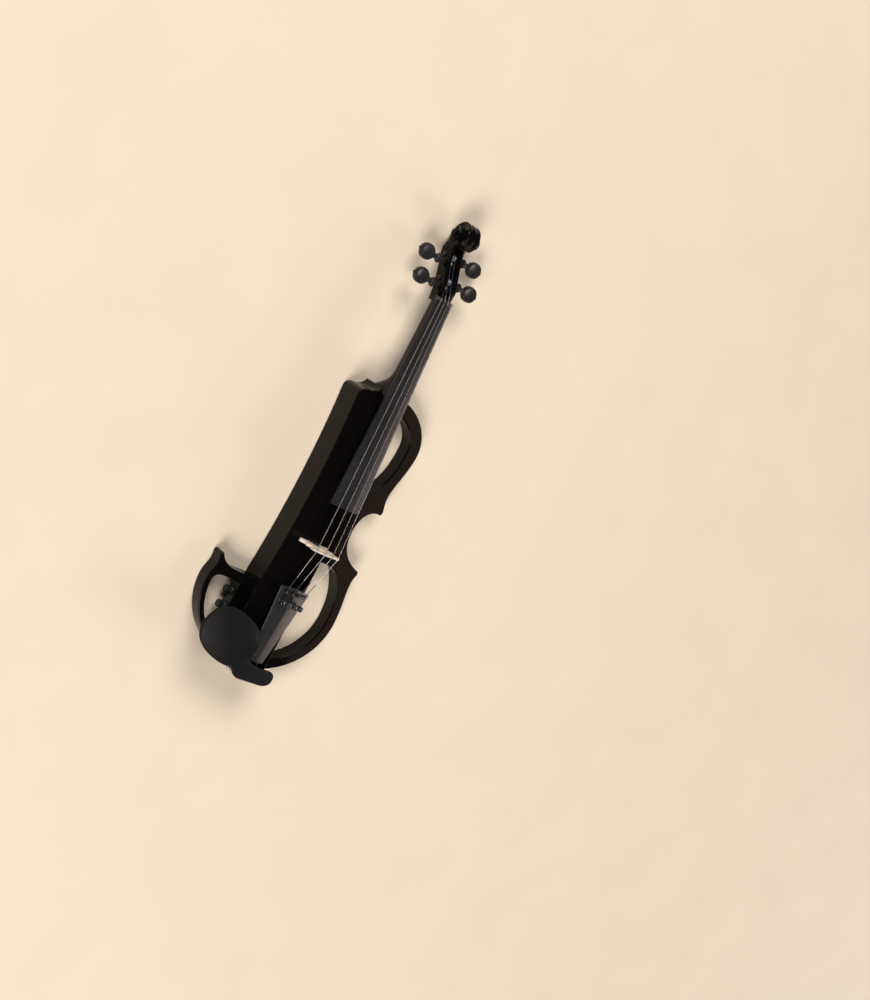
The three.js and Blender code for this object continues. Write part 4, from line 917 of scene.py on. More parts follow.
@dataclass(frozen=True)
class Wrapped(Finish):
    """Something wrapped round a string, turn by turn."""

    pitch: float = 0.28

    def turns(self, tree: Tree, wander: float = 0.0) -> Socket:
        """Returns the turns, which follow each other along the string."""
        return tree.bands(2 * math.pi / (20 * self.pitch * MM), "Y", wander)


@dataclass(frozen=True)
class WoundString(Wrapped):
    """A metal string wound with flat ribbon."""

    def detail(self, tree: Tree) -> None:
        """Adds the ribbon's turns, with painted shade in the gaps between them, and patches of grime.

        Args:
            tree: the material's nodes.
        """
        ribbon = self.turns(tree)
        grime = tree.noise(75, 4, (1, 3, 1))
        dulled = tree.mix(tree.spread(grime, 0.35, 0.75, 0.0, 0.5), self.colour, self.tint(0.55))
        # Painted shade: the narrow gaps between the ribbon's turns are darkened towards a fifth of the
        # colour.
        tree.put("Base Color", tree.mix(tree.spread(ribbon, 0.22, 0.02, 0.0, 0.8), dulled, self.tint(0.2)))
        tree.put("Roughness", self.sheen(tree, grime, 0.3, 0.7, 0.8, 1.5))
        tree.bump((ribbon, 0.5, 0.035))


@dataclass(frozen=True)
class Thread(Wrapped):
    """Silk thread wrapped round a string's end."""

    def detail(self, tree: Tree) -> None:
        """Adds the thread's turns, with painted shade in the grooves between them, and loose fibres.

        Args:
            tree: the material's nodes.
        """
        turns = self.turns(tree, 0.4)
        fibre = tree.noise(2600, 2, (1, 0.25, 1))
        # Painted shade: each turn runs from the thread's colour down to 0.4 of it in the grooves between
        # turns.
        tree.put("Base Color", tree.mix(turns, self.tint(0.4), self.colour))
        tree.put("Roughness", self.sheen(tree, fibre, 0.3, 0.7, 0.85, 1.1))
        tree.bump((turns, 0.6, 0.06), (fibre, 0.2, 0.02))


@dataclass(frozen=True)
class Corkwood(Finish):
    """Pressed cork: granules with dark joints and pits."""

    joint: Colour = (0.16, 0.085, 0.04)

    def detail(self, tree: Tree) -> None:
        """Adds granules, joints and pits.

        Args:
            tree: the material's nodes.
        """
        granule, tone = tree.cells(850), tree.noise(520, 3)
        base = tree.mix(tone, self.tint(0.75), self.tint(1.2))
        tree.put("Base Color", tree.mix(tree.spread(granule, 0.5, 0.75), base, self.joint))
        tree.put("Roughness", tree.spread(tone, 0.2, 0.8, 0.82, 0.98))
        tree.bump((granule, 0.5, -0.2), (tone, 0.3, 0.1))


@dataclass(frozen=True)
class Circuit(Finish):
    """A green board with copper tracks under its mask."""

    track: Colour = (0.05, 0.17, 0.075)
    pad: Colour = (0.62, 0.6, 0.55)

    def detail(self, tree: Tree) -> None:
        """Adds tracks and pads.

        Args:
            tree: the material's nodes.
        """
        rows = tree.spread(tree.bands(120, "Y", 0.6), 0.62, 0.68)
        mask = tree.noise(300, 3)
        tree.put("Base Color", tree.mix(tree.spread(tree.cells(210), 0.16, 0.12),
                                        tree.mix(rows, self.colour, self.track), self.pad))
        tree.put("Roughness", self.sheen(tree, mask, 0.3, 0.7, 0.8, 1.2))
        tree.bump((rows, 0.3, 0.04), (mask, 0.05, 0.03))


@dataclass(frozen=True)
class Foil(Finish):
    """A battery's sleeve of printed foil over steel, plain, with one pale band."""

    band: Colour = (0.45, 0.4, 0.3)
    scuff: Colour = (0.42, 0.42, 0.43)
    band_at: tuple[float, float] = (-0.107, -0.103)

    def detail(self, tree: Tree) -> None:
        """Adds the band, foil wrinkles and scuffs.

        Args:
            tree: the material's nodes.
        """
        axes = tree.nodes.new("ShaderNodeSeparateXYZ")
        tree.links.new(tree.place, axes.inputs["Vector"])
        low, high = self.band_at
        inside = tree.sum_of(tree.spread(axes.outputs["Y"], low - 0.0001, low),
                             tree.spread(axes.outputs["Y"], high, high + 0.0001, 1.0, 0.0), Sum.TIMES)
        scuffs = tree.spread(tree.noise(160, 6, (1, 6, 1)), 0.64, 0.76, 0.0, 0.3)
        tree.put("Base Color", tree.mix(scuffs, tree.mix(inside, self.colour, self.band), self.scuff))
        wrinkles = tree.noise(70, 3)
        tree.put("Roughness", self.sheen(tree, wrinkles, 0.3, 0.7, 0.75, 1.25))
        tree.bump((wrinkles, 0.15, 0.08))


GLOSS = Lacquer("gloss_black_lacquer", "gloss_black", (0.003, 0.0025, 0.0024), 0.07, specular=0.11)
BOARD_WOOD = Blackwood("fingerboard_wood", "ebony", (0.0105, 0.0103, 0.0108), specular=0.15)
FITTING_WOOD = Blackwood("black_fitting_wood", "ebony", (0.014, 0.0135, 0.0145), 0.33, along=(16, 3, 16))
PEG_WOOD = Blackwood("peg_wood", "ebony", (0.011, 0.0106, 0.0118), 0.32, specular=0.3, along=(2, 18, 18))
CHIN_PLASTIC = Moulded("matt_chin_plastic", "chin_plastic", (0.006, 0.006, 0.0068), 0.55, specular=0.13)
TRIM_PLASTIC = Moulded("black_trim_plastic", "black_plastic", (0.014, 0.0138, 0.0145), 0.42,
                       grain_scale=2200, grain_depth=0.02)
KNOB_PLASTIC = Moulded("knob_plastic", "black_plastic", (0.011, 0.011, 0.012), 0.34,
                       grain_scale=2600, grain_depth=0.012)
CORD_PLASTIC = Moulded("tail_cord_plastic", "tail_cord", (0.02, 0.02, 0.021), grain_scale=1800)
PARCHMENT = Moulded("bridge_parchment", "maple", (0.72, 0.62, 0.46), 0.5, grain_scale=900)
MAPLE = PaleWood("pale_bridge_wood", "maple", (0.83, 0.7, 0.58), 0.5)
NICKEL = Plated("bright_nickel", "nickel", (0.62, 0.6, 0.57), 0.2, 1.0)
BLACK_NICKEL = Plated("black_nickel", "nickel", (0.075, 0.073, 0.078), 0.26, 0.9, tarnish=(0.03, 0.03, 0.032))
STEEL = Plated("turned_steel", "screw_steel", (0.44, 0.44, 0.45), 0.3, 1.0)
PLAIN_STRING = Plated("plain_string", "string_steel", (0.5, 0.5, 0.52), 0.24, 1.0, turned_axis="X")
WOUND = WoundString("wound_string", "string_steel", (0.42, 0.42, 0.43), 0.3, 1.0)
SILK = Thread("string_silk", "string_steel", (0.02, 0.021, 0.034), 0.6, pitch=0.2)
CORK = Corkwood("pressed_cork", "cork", (0.42, 0.26, 0.13), 0.9)
CIRCUIT = Circuit("circuit_mask", "circuit_green", (0.012, 0.085, 0.035), 0.38)
BATTERY_FOIL = Foil("battery_foil", "battery_can", (0.022, 0.024, 0.03), 0.36, 0.3, 0.3)


# Pieces

def add_piece(name: str, shape: Shape, finish: Finish, replaces: Sequence[str] = (), sharp: float = 34.0,
              body: str = "instrument", slot: str = "") -> None:
    """Adds one piece to the violin.

    Args:
        name: its name.
        shape: its shape, in millimetres.
        finish: its finish.
        replaces: the CAD nodes that it stands for.
        sharp: the angle, in degrees, above which an edge is sharp.
        body: the body that it rides on.
        slot: the record's material slot for it, if it isn't the finish's. It is not used.
    """
    slot = slot or finish.slot
    mesh = raw_mesh(name, shape, MM)
    mesh.shade_smooth()
    mesh.set_sharp_from_angle(angle=math.radians(sharp))
    mesh.materials.append(finish.material())
    piece = bpy.data.objects.new(name, mesh)
    bpy.context.scene.collection.objects.link(piece)
    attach(piece, body)
    if replaces:
        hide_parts(*replaces)
    LOG.info("%s: %d faces on %s", name, len(mesh.polygons), body)


def corners(node: str) -> tuple[Vector, Vector]:
    """Returns the lowest and highest corner of a CAD node, in millimetres."""
    low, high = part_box(node)
    return low / MM, high / MM


def middle(node: str) -> Vector:
    """Returns the middle of a CAD node, in millimetres."""
    low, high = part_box(node)
    return (low + high) / 2 / MM


# Core and frames

@dataclass(frozen=True)
class BodySize:
    """Sizes of the core, its deck and the frames."""

    depth: float = 40.0
    frame_depth: float = 22.0
    right: float = 24.0
    shoulder: float = 43.0
    waist_left: float = 35.0
    hip: float = 42.0
    hip_y: float = -62.0
    heel_y: float = 207.0
    shoulder_drop: float = 11.0
    deck_left: float = 52.0
    deck_top: float = -68.0
    bout: float = 91.0
    bout_drop: float = 59.0
    corner: float = 85.0
    corner_y: float = 66.0
    waist: float = 57.0
    waist_y: float = 30.0
    low_corner: float = 95.0
    low_corner_y: float = -17.0
    low_bout: float = 99.0
    low_bout_y: float = -88.0
    tail_y: float = -177.0
    band: float = 17.5
    low_band: float = 13.0
    bass_band: float = 7.5
    point: float = 5.0
    hole_end: float = 76.0
    low_hole_top: float = -20.0
    left_corner: float = 96.0
    left_corner_y: float = -55.0
    arm: float = 11.0
    tuck: float = 3.45
    chamber: float = 18.0
    knob_bore: float = 3.3
    knob_bore_end: float = -44.0
    tenon_half: float = 9.3
    tenon_length: float = 26.3
    tenon_low: float = 13.7
    tenon_high: float = 34.3
    foot_half: float = 27.2
    foot_pocket: float = 5.5
    button_bore: float = 4.1
    screw_bore: float = 1.4
    screw_depth: float = 8.3


class Body:
    """The solid core with its deck, and the open frames beside it."""

    def __init__(self, size: BodySize) -> None:
        """Keeps the sizes."""
        self.size = size

    def oval(self, inward: float, from_x: float, to_x: float, count: int = 40) -> Ring:
        """Draws a part of the lower bout.

        Args:
            inward: how far inside the outer edge.
            from_x: where it starts.
            to_x: where it ends.
            count: the number of steps.

        Returns:
            The points of the curve.
        """
        s = self.size
        a, b = s.low_bout - inward, s.low_bout_y - s.tail_y - inward
        first, last = math.acos(from_x / a), math.acos(to_x / a)
        angles = [lerp(first, last, share) for share in steps(count)]
        return [vec(a * math.cos(t), s.low_bout_y - b * math.sin(t)) for t in angles]

    def core_outline(self) -> Ring:
        """Returns the outline of the core's top."""
        s = self.size
        top, side = s.heel_y - s.shoulder_drop, -s.shoulder
        neck = vec(-Strings.board_half(s.heel_y), s.heel_y)
        corner = vec(s.right, s.heel_y - 2 * ROUND)
        return [
            vec(s.right, top), corner,
            *bends(corner, ((s.right, s.heel_y - ROUND * 0.6), (s.right - ROUND * 1.6, s.heel_y),
                            (s.right - 4 * ROUND, s.heel_y), 8)),
            neck,
            *bends(neck, ((side * 0.5, top), (side * 0.72, top + ROUND), (side * 0.84, top), 14),
                   ((side * 0.96, top - ROUND), (side, top * 0.98), (side, top * 0.95), 10),
                   ((-s.waist_left, top * 0.56), (-s.waist_left, top * 0.06), (-s.hip, s.hip_y), 40)),
            *reversed(self.oval(0, s.right, -s.hip, 30)),
        ]

    def deck_outline(self) -> Ring:
        """Returns the outline of the deck beside the core."""
        s = self.size
        return [vec(s.right - ROUND, s.deck_top), vec(-s.deck_left, s.deck_top),
                *reversed(self.oval(0, s.right - ROUND, -s.deck_left, 40))]

    def hollows(self) -> list[Shape]:
        """Lists what is cut out of the core.

        Returns:
            The chamber, the battery bay, the bores and the pockets.
        """
        s = self.size
        right, left = s.right + REACH, -s.deck_left - REACH
        low, high = corners("back_cover")
        result = [block((low.x - SEAM, low.y - SEAM, -REACH), [side + SEAM for side in high]),
                  block((low.x + 0.9, low.y + 6, 0), (high.x - 3, high.y - 6, s.chamber))]
        low, high = corners("battery_drawer")
        rim = 2.3
        result.append(block((low.x - SEAM, low.y + rim, low.z + rim), (right, high.y - rim, high.z - rim)))
        for name, radius in Controls.JACKS.items():
            result.append(crosswise(middle(name), corners(name)[0].x - SEAM, right, radius + SEAM))
        for name in Controls.POTS:
            result.append(crosswise(middle(f"{name}_knob"), left, s.knob_bore_end, s.knob_bore))
        low, high = corners("switch_body")
        result.append(block((left, low.y - SEAM, low.z - SEAM), [side + SEAM for side in high]))
        result.append(block((-s.tenon_half, s.heel_y - s.tenon_length, s.tenon_low),
                            (s.tenon_half, s.heel_y + REACH, s.tenon_high)))
        low, high = corners("clamp_foot")
        result.append(block((-s.foot_half, s.tail_y - REACH, -REACH),
                            (s.foot_half, high.y + 2 * SEAM, s.foot_pocket)))
        low, high = corners("end_button")
        height = middle("end_button").z
        result.append(rod((0, low.y, height), (0, high.y + SEAM, height), s.button_bore))
        result += [upright(middle(name), -1, s.screw_depth, s.screw_bore, 12) for name in Controls.SCREWS]
        low, high = corners("saddle")
        result.append(block((low.x - SEAM, low.y - 6, low.z - SEAM),
                            (high.x + SEAM, high.y + SEAM, s.depth + REACH)))
        return result

    def slab(self, outline: Ring, depth: float) -> Shape:
        """Returns an outline raised from the back, with its edges rounded."""
        return rounded_slab(outline, 0, depth, ROUND, 6)

    def core(self) -> Shape:
        """Returns the core and its deck, with every hollow cut."""
        s = self.size
        whole = unite(self.slab(self.core_outline(), s.depth), self.slab(self.deck_outline(), s.frame_depth))
        return cut(whole, *self.hollows())

    def upper_hole(self) -> Ring:
        """Returns the edge of the upper hole."""
        s = self.size
        edge, inner, bout_y = s.right + SEAM, s.bout - s.band, s.heel_y - s.bout_drop
        start, end = vec(edge, s.hole_end), (edge, s.heel_y - s.band * 1.1)
        return [
            vec(edge - s.tuck, s.hole_end), start,
            *bends(start, ((s.waist * 0.9, s.hole_end), (inner * 0.86, s.hole_end * 1.2),
                           (inner * 0.95, s.hole_end * 1.5), 24),
                   ((inner, bout_y * 0.85), (inner, bout_y * 0.95), (inner, bout_y), 12),
                   ((inner, bout_y * 1.17), (inner * 0.62, s.heel_y - s.band * 1.2), end, 28)),
            vec(edge - s.tuck, end[1]),
        ]

    def lower_hole(self) -> Ring:
        """Returns the edge of the lower hole on the treble side."""
        s = self.size
        edge, inner = s.right + SEAM, s.low_bout - s.low_band
        curve = self.oval(s.low_band, inner, edge, 40)[::-1]
        return [
            vec(edge - s.tuck, curve[0].y), *curve,
            *bends((inner, s.low_bout_y), ((inner, s.low_bout_y * 0.7),
                                           (s.low_bout * 0.78, s.low_bout_y * 0.5),
                                           (s.low_bout * 0.68, s.low_bout_y * 0.34), 20),
                   ((s.low_bout * 0.62, s.low_hole_top), (s.waist * 0.9, s.low_hole_top),
                    (edge, s.low_hole_top), 16)),
            vec(edge - s.tuck, s.low_hole_top),
        ]

    def treble_outline(self) -> Ring:
        """Returns the outline of the treble frame with both of its holes."""
        s = self.size
        edge, bout_y = s.right + SEAM, s.heel_y - s.bout_drop
        start = vec(edge, s.heel_y - 2 * ROUND)
        neck = (s.corner - s.point * 0.4, s.corner_y - s.point * 0.7)
        tip = (s.low_corner - s.point * 0.4, s.low_corner_y + s.point * 0.7)
        low = (s.low_corner, s.low_corner_y - s.point * 0.3)
        outer = self.oval(0, s.low_bout, edge, 44)
        return [
            vec(edge - s.tuck, start.y), start,
            *bends(start, ((s.bout * 0.58, s.heel_y - ROUND), (s.bout, bout_y * 1.24), (s.bout, bout_y), 36),
                   ((s.bout, bout_y * 0.82), (s.corner * 0.92, s.corner_y * 1.5),
                    (s.corner * 0.96, s.corner_y * 1.22), 24),
                   ((s.corner * 0.98, s.corner_y * 1.1), (s.corner, s.corner_y + s.point * 0.5),
                    (s.corner, s.corner_y + s.point * 0.3), 5),
                   ((s.corner, s.corner_y - s.point * 0.2), (neck[0] + 0.8, neck[1]), neck, 6),
                   ((s.waist * 1.2, s.corner_y * 0.98), (s.waist, s.corner_y * 0.78), (s.waist, s.waist_y),
                    30),
                   ((s.waist, s.waist_y * 0.22), (s.low_corner * 0.76, s.low_corner_y * 0.5), tip, 30),
                   ((tip[0] + 1, tip[1]), (low[0] + 0.2, low[1] + 2), low, 6),
                   ((s.low_corner * 0.92, s.low_corner_y * 1.9), (s.low_bout, s.low_bout_y * 0.66),
                    (s.low_bout, s.low_bout_y), 30)),
            *outer[1:], vec(edge - s.tuck, outer[-1].y),
            *self.lower_hole(), *self.upper_hole(),
        ]

    def bass_outline(self) -> Ring:
        """Returns the outline of the bass frame."""
        s = self.size
        edge = -s.deck_left - SEAM
        tuck = edge + s.tuck
        tip = (-s.left_corner + s.point * 0.7, s.left_corner_y + s.point * 0.4)
        low = vec(-s.left_corner, s.left_corner_y - s.point * 0.5)
        arm_y, inner = s.deck_top - s.arm, -s.low_bout + s.bass_band
        outer = self.oval(0, edge, -s.low_bout, 34)[::-1]
        hole = self.oval(s.bass_band, edge, inner, 30)
        return [
            vec(tuck, s.deck_top), vec(edge, s.deck_top),
            *bends((edge, s.deck_top), ((-s.left_corner * 0.84, s.deck_top),
                                        (-s.left_corner * 0.9, s.left_corner_y * 1.14), tip, 20)),
            vec(tip[0] - 2.1, tip[1] - 0.6), vec(tip[0] - 3.4, tip[1] - 2.4), low,
            *bends(low, ((-s.left_corner * 0.96, s.left_corner_y * 1.3), (-s.low_bout, s.left_corner_y * 1.4),
                         (-s.low_bout, s.low_bout_y), 20)),
            *outer[1:], vec(tuck, outer[-1].y), vec(tuck, hole[0].y), *hole,
            *bends((inner, s.low_bout_y), ((inner, arm_y - s.arm * 0.2), (-s.low_bout * 0.87, arm_y),
                                           (-s.low_bout * 0.78, arm_y), 20)),
            vec(edge, arm_y), vec(tuck, arm_y),
        ]

    def build(self) -> None:
        """Adds the core and the frames."""
        depth = self.size.frame_depth
        add_piece("core", self.core(), GLOSS, ["body_core"], 40)
        add_piece("treble_side", self.slab(self.treble_outline(), depth), GLOSS, ["treble_frame"], 40)
        add_piece("bass_side", self.slab(self.bass_outline(), depth), GLOSS, ["bass_frame"], 40)


# Neck, pegbox and scroll

@dataclass(frozen=True)
class HeadSize:
    """Sizes of the neck, the pegbox and the scroll."""

    nut_thick: float = 5.5
    neck_depth: float = 13.5
    heel_depth: float = 15.5
    heel_rise: float = 26.0
    heel_floor: float = 1.5
    heel_y: float = 207.3
    root_y: float = 187.0
    root_z: float = 40.3
    box_end: float = 399.5
    box_half: float = 12.0
    box_end_half: float = 10.0
    throat_half: float = 7.6
    cavity: float = 13.5
    scroll_y: float = 410.0
    scroll_z: float = 24.5
    scroll_radius: float = 22.0
    curl: float = 0.62
    scroll_turns: float = 2.15
    scroll_half: float = 8.0
    eye_half: float = 20.5
    eye_radius: float = 4.6


class Head:
    """The neck with its heel, the pegbox and the scroll, carved as one."""

    BACK = ((322.5, 29.7), (333.5, 26.9), (345.0, 23.6), (366.7, 12.9), (384.0, 3.7), (388.5, 1.8),
            (393.0, 1.2), (398.0, 1.9), (403.2, 3.7), (409.0, 3.3))
    RIM = ((322.5, 43.0), (333.5, 43.4), (345.0, 45.0), (384.0, 26.2), (388.5, 24.4), (392.0, 24.2),
           (396.0, 25.6), (403.4, 28.4), (409.0, 26.0))

    def __init__(self, size: HeadSize) -> None:
        """Keeps the sizes."""
        self.size = size

    @staticmethod
    def top(y: float) -> float:
        """Returns the height of the neck's top at a distance."""
        return Strings.board_z(y) - 5.3

    def neck_ring(self, y: float, depth: float, half: float) -> Ring:
        """Draws a section of the neck, flat on top and round below.

        Args:
            y: where it is.
            depth: how deep it is.
            half: half its width.

        Returns:
            The section.
        """
        angles = [math.pi * share for share in steps(36)]
        return [vec(half * math.cos(a), y, self.top(y) - depth * math.sin(a) ** 0.82) for a in angles]

    def neck(self) -> Shape:
        """Returns the neck and its heel."""
        s = self.size
        rings = [self.neck_ring(NUT_Y + s.nut_thick, s.neck_depth, 11.7)]
        bottom = self.top(s.heel_y) - s.heel_floor
        for share in steps(26):
            y = lerp(NUT_Y - 4, s.heel_y, share)
            rise = max(0.0, (y - s.heel_y) / s.heel_rise)
            even = lerp(s.neck_depth, s.heel_depth, share)
            depth = even + (bottom - s.heel_depth) * max(0.0, 1 - rise) ** 2.2
            rings.append(self.neck_ring(y, depth, Strings.board_half(y) - SEAM))
        return loft(rings)

    def root(self) -> Shape:
        """Returns the block below the fingerboard, on the core, and the tenon."""
        s = self.size
        rings = []
        for y in (s.root_y, s.root_y + 0.8, s.heel_y + 1.6):
            half = Strings.board_half(y) - (1.0 if y == s.root_y else SEAM)
            low, high = s.root_z, self.top(y)
            rings.append([vec(-half, y, low), vec(half, y, low), vec(half, y, high - 0.5),
                          vec(half - 0.5, y, high), vec(0.5 - half, y, high), vec(-half, y, high - 0.5)])
        return loft(rings)

    def box_half(self, y: float) -> float:
        """Returns half the pegbox's width at a distance.

        Args:
            y: the distance.

        Returns:
            Half the width.
        """
        s = self.size
        even = lerp(s.box_half, s.box_end_half, min(1.0, max(0.0, (y - NUT_Y) / (s.box_end - NUT_Y))))
        return lerp(even - SEAM, s.throat_half, ease((y - 388) / 18))

    def box_ring(self, y: float) -> Ring:
        """Draws a section of the pegbox with a fluted back.

        Args:
            y: where it is.

        Returns:
            The section.
        """
        half, low, high = self.box_half(y), level_at(self.BACK, y), level_at(self.RIM, y)
        flute, edge = 1.5 * ease((y - 336) / 22), 1.0
        side = [vec(-half, y, lerp(low + 2.2, high - edge, share)) for share in steps(5)]
        side += [vec(-half + 0.3, y, high - 0.3), vec(-half + edge, y, high)]
        ring = side + mirrored(side)
        for share in steps(20):
            groove = flute * math.sin(2 * math.pi * abs(0.5 - share)) ** 2
            place = 1 - 2 * share
            ring.append(vec(half * 0.93 * place, y, low + groove + 1.3 * abs(place) ** 6))
        return ring

    def pegbox(self) -> Shape:
        """Returns the pegbox, still solid."""
        return loft([self.box_ring(lerp(326.0, 407.0, share)) for share in steps(44)])

    def cavity(self) -> Shape:
        """Returns the hollow of the pegbox, which narrows towards the scroll."""
        s = self.size
        shape = side_slab([(334.1, 54), (s.box_end - 4, 36), (s.box_end - 4, 14), (s.box_end - 6, 8.6),
                           (390, 6),
                           (388, 5.4), (345, 28.2), (338, 29.4), (334.1, 31)], s.cavity, 1.2, 4)
        return Shape([vec(p.x * (self.box_half(min(p.y, 388)) / s.box_half), p.y, p.z) for p in shape.points],
                     shape.faces)

    def curl_ring(self, turns: float) -> Ring:
        """Draws a section of the rolled ribbon that makes the scroll.

        Args:
            turns: how far along the spiral.

        Returns:
            The section, from the inside of the turn on one side to the other.
        """
        s = self.size
        outer = s.scroll_radius * math.exp(-s.curl * turns)
        inner = outer * math.exp(-s.curl) * 0.86
        share = turns / s.scroll_turns
        half = lerp(s.scroll_half, s.eye_half - 0.9, ease(share) * 0.55 + 0.45 * share)
        bevel, dip, flute = min(1.1, outer * 0.09), min(1.7, outer * 0.1), min(1.0, outer * 0.05)
        side = [(inner, half - dip * 0.7), (lerp(inner, outer, 0.25), half - dip),
                (lerp(inner, outer, 0.5), half - dip * 0.8), (lerp(inner, outer, 0.72), half - dip * 0.3),
                (outer - bevel * 1.6, half), (outer - bevel, half), (outer - bevel * 0.2, half - bevel * 0.7),
                (outer, half - bevel * 1.3), (outer - flute * 0.55, half * 0.66),
                (outer - flute, half * 0.45),
                (outer - flute * 0.5, half * 0.2)]
        profile = side + [(outer, 0.0)] + [(r, -x) for r, x in reversed(side)]
        angle = 2 * math.pi * (turns - 0.3)
        c, q = math.cos(angle), math.sin(angle)
        return [vec(x, s.scroll_y + r * c, s.scroll_z + r * q) for r, x in profile]

    def scroll(self) -> Shape:
        """Returns the scroll with both of its eyes."""
        s = self.size
        ribbon = loft([self.curl_ring(lerp(-0.03, s.scroll_turns, share)) for share in steps(120)])
        end, r = s.eye_half, s.eye_radius
        eye = [(r * 0.4, -end), (r * 0.8, -end + 0.3), (r, -end + 1.1), (r * 1.05, -end + 3)]
        eye += [(radius, -along) for radius, along in reversed(eye)]
        return ribbon + lathe(eye, vec(0, s.scroll_y, s.scroll_z), ACROSS, 40)

    def build(self) -> None:
        """Adds the neck, the pegbox and the scroll as one piece."""
        box = cut(self.pegbox(), self.cavity(), *[Pegs.hole(name) for name in Strings.NAMES])
        tenon = rounded_box((-9, 181, 14), (9, 209, 34), 0.4)
        whole = box + self.neck() + self.root() + tenon + self.scroll()
        add_piece("neck", whole, GLOSS, ["neck_and_scroll"], 36)


# Fingerboard and nut

class Board:
    """The fingerboard and the nut."""

    END_Y = 58.0
    SIDE = 5.0
    NUT_ROWS = ((0.3, 0.3), (0.7, 1.0), (1.6, 1.2), (3.2, 1.15), (4.2, 0.4), (4.9, -0.7), (5.5, -1.9))

    @staticmethod
    def crown(x: float, y: float) -> float:
        """Returns the height of the board's crown."""
        half = Strings.board_half(y)
        return Strings.board_z(y) + Strings.board_drop(half) - Strings.board_drop(min(abs(x), half))

    def ring(self, y: float, trim: float = 0.0) -> Ring:
        """Draws a section of the board, hollowed below where it hangs free.

        Args:
            y: where it is.
            trim: how far the edges are taken in.

        Returns:
            The section.
        """
        half = Strings.board_half(y) - trim
        places = [(half - 0.45) * (2 * share - 1) for share in steps(32)]
        ring = [vec(x, y, self.crown(x, y) - trim) for x in places]
        high, low = self.crown(half, y) - trim, Strings.board_z(y) - self.SIDE + trim
        hollow = 3.4 * ease((186 - y) / 14)
        side = [vec(half - 0.12, y, high - 0.12), vec(half, y, high - 0.5), vec(half, y, low + 0.5),
                vec(half - 0.15, y, low + 0.14), vec(half - 0.5, y, low)]
        below = [vec((half - 3.2) * place, y, low + hollow * math.sqrt(max(0.0, 1 - abs(place) ** 2.6)))
                 for place in (1 - 2 * share for share in steps(14))]
        return ring + side + below + mirrored(side)

    def fingerboard(self) -> Shape:
        """Returns the fingerboard with softened ends."""
        end = self.END_Y
        spans = [NUT_Y - 0.4, *(lerp(NUT_Y - 2, end + 2, share) for share in steps(60)), end + 0.6]
        return loft([self.ring(NUT_Y, 0.3), *(self.ring(y) for y in spans), self.ring(end + 0.15, 0.15),
                     self.ring(end, 0.6)])

    def nut(self) -> Shape:
        """Returns the nut, with a groove below each string."""
        low, half = Head.top(NUT_Y) + SEAM, Strings.board_half(NUT_Y)
        rings = []
        for along, lift in self.NUT_ROWS:
            y = NUT_Y + along
            ring = []
            for share in steps(96):
                x = (half - 0.2) * (2 * share - 1)
                groove = sum(0.5 * math.exp(-((x - Strings.nut_x(n)) / 0.42) ** 2) for n in Strings.NAMES)
                edge = 0.35 * abs(2 * share - 1) ** 24
                ring.append(vec(x, y, self.crown(x, NUT_Y) + lift - groove - edge))
            side = [vec(half, y, low + 3), vec(half, y, low)]
            rings.append(ring + side + mirrored(side))
        return loft(rings)

    def build(self) -> None:
        """Adds the fingerboard and the nut."""
        add_piece("fingerboard_shaped", self.fingerboard(), BOARD_WOOD, ["fingerboard"], 30)
        add_piece("nut_shaped", self.nut(), FITTING_WOOD, ["nut"], 40)


# Bridge

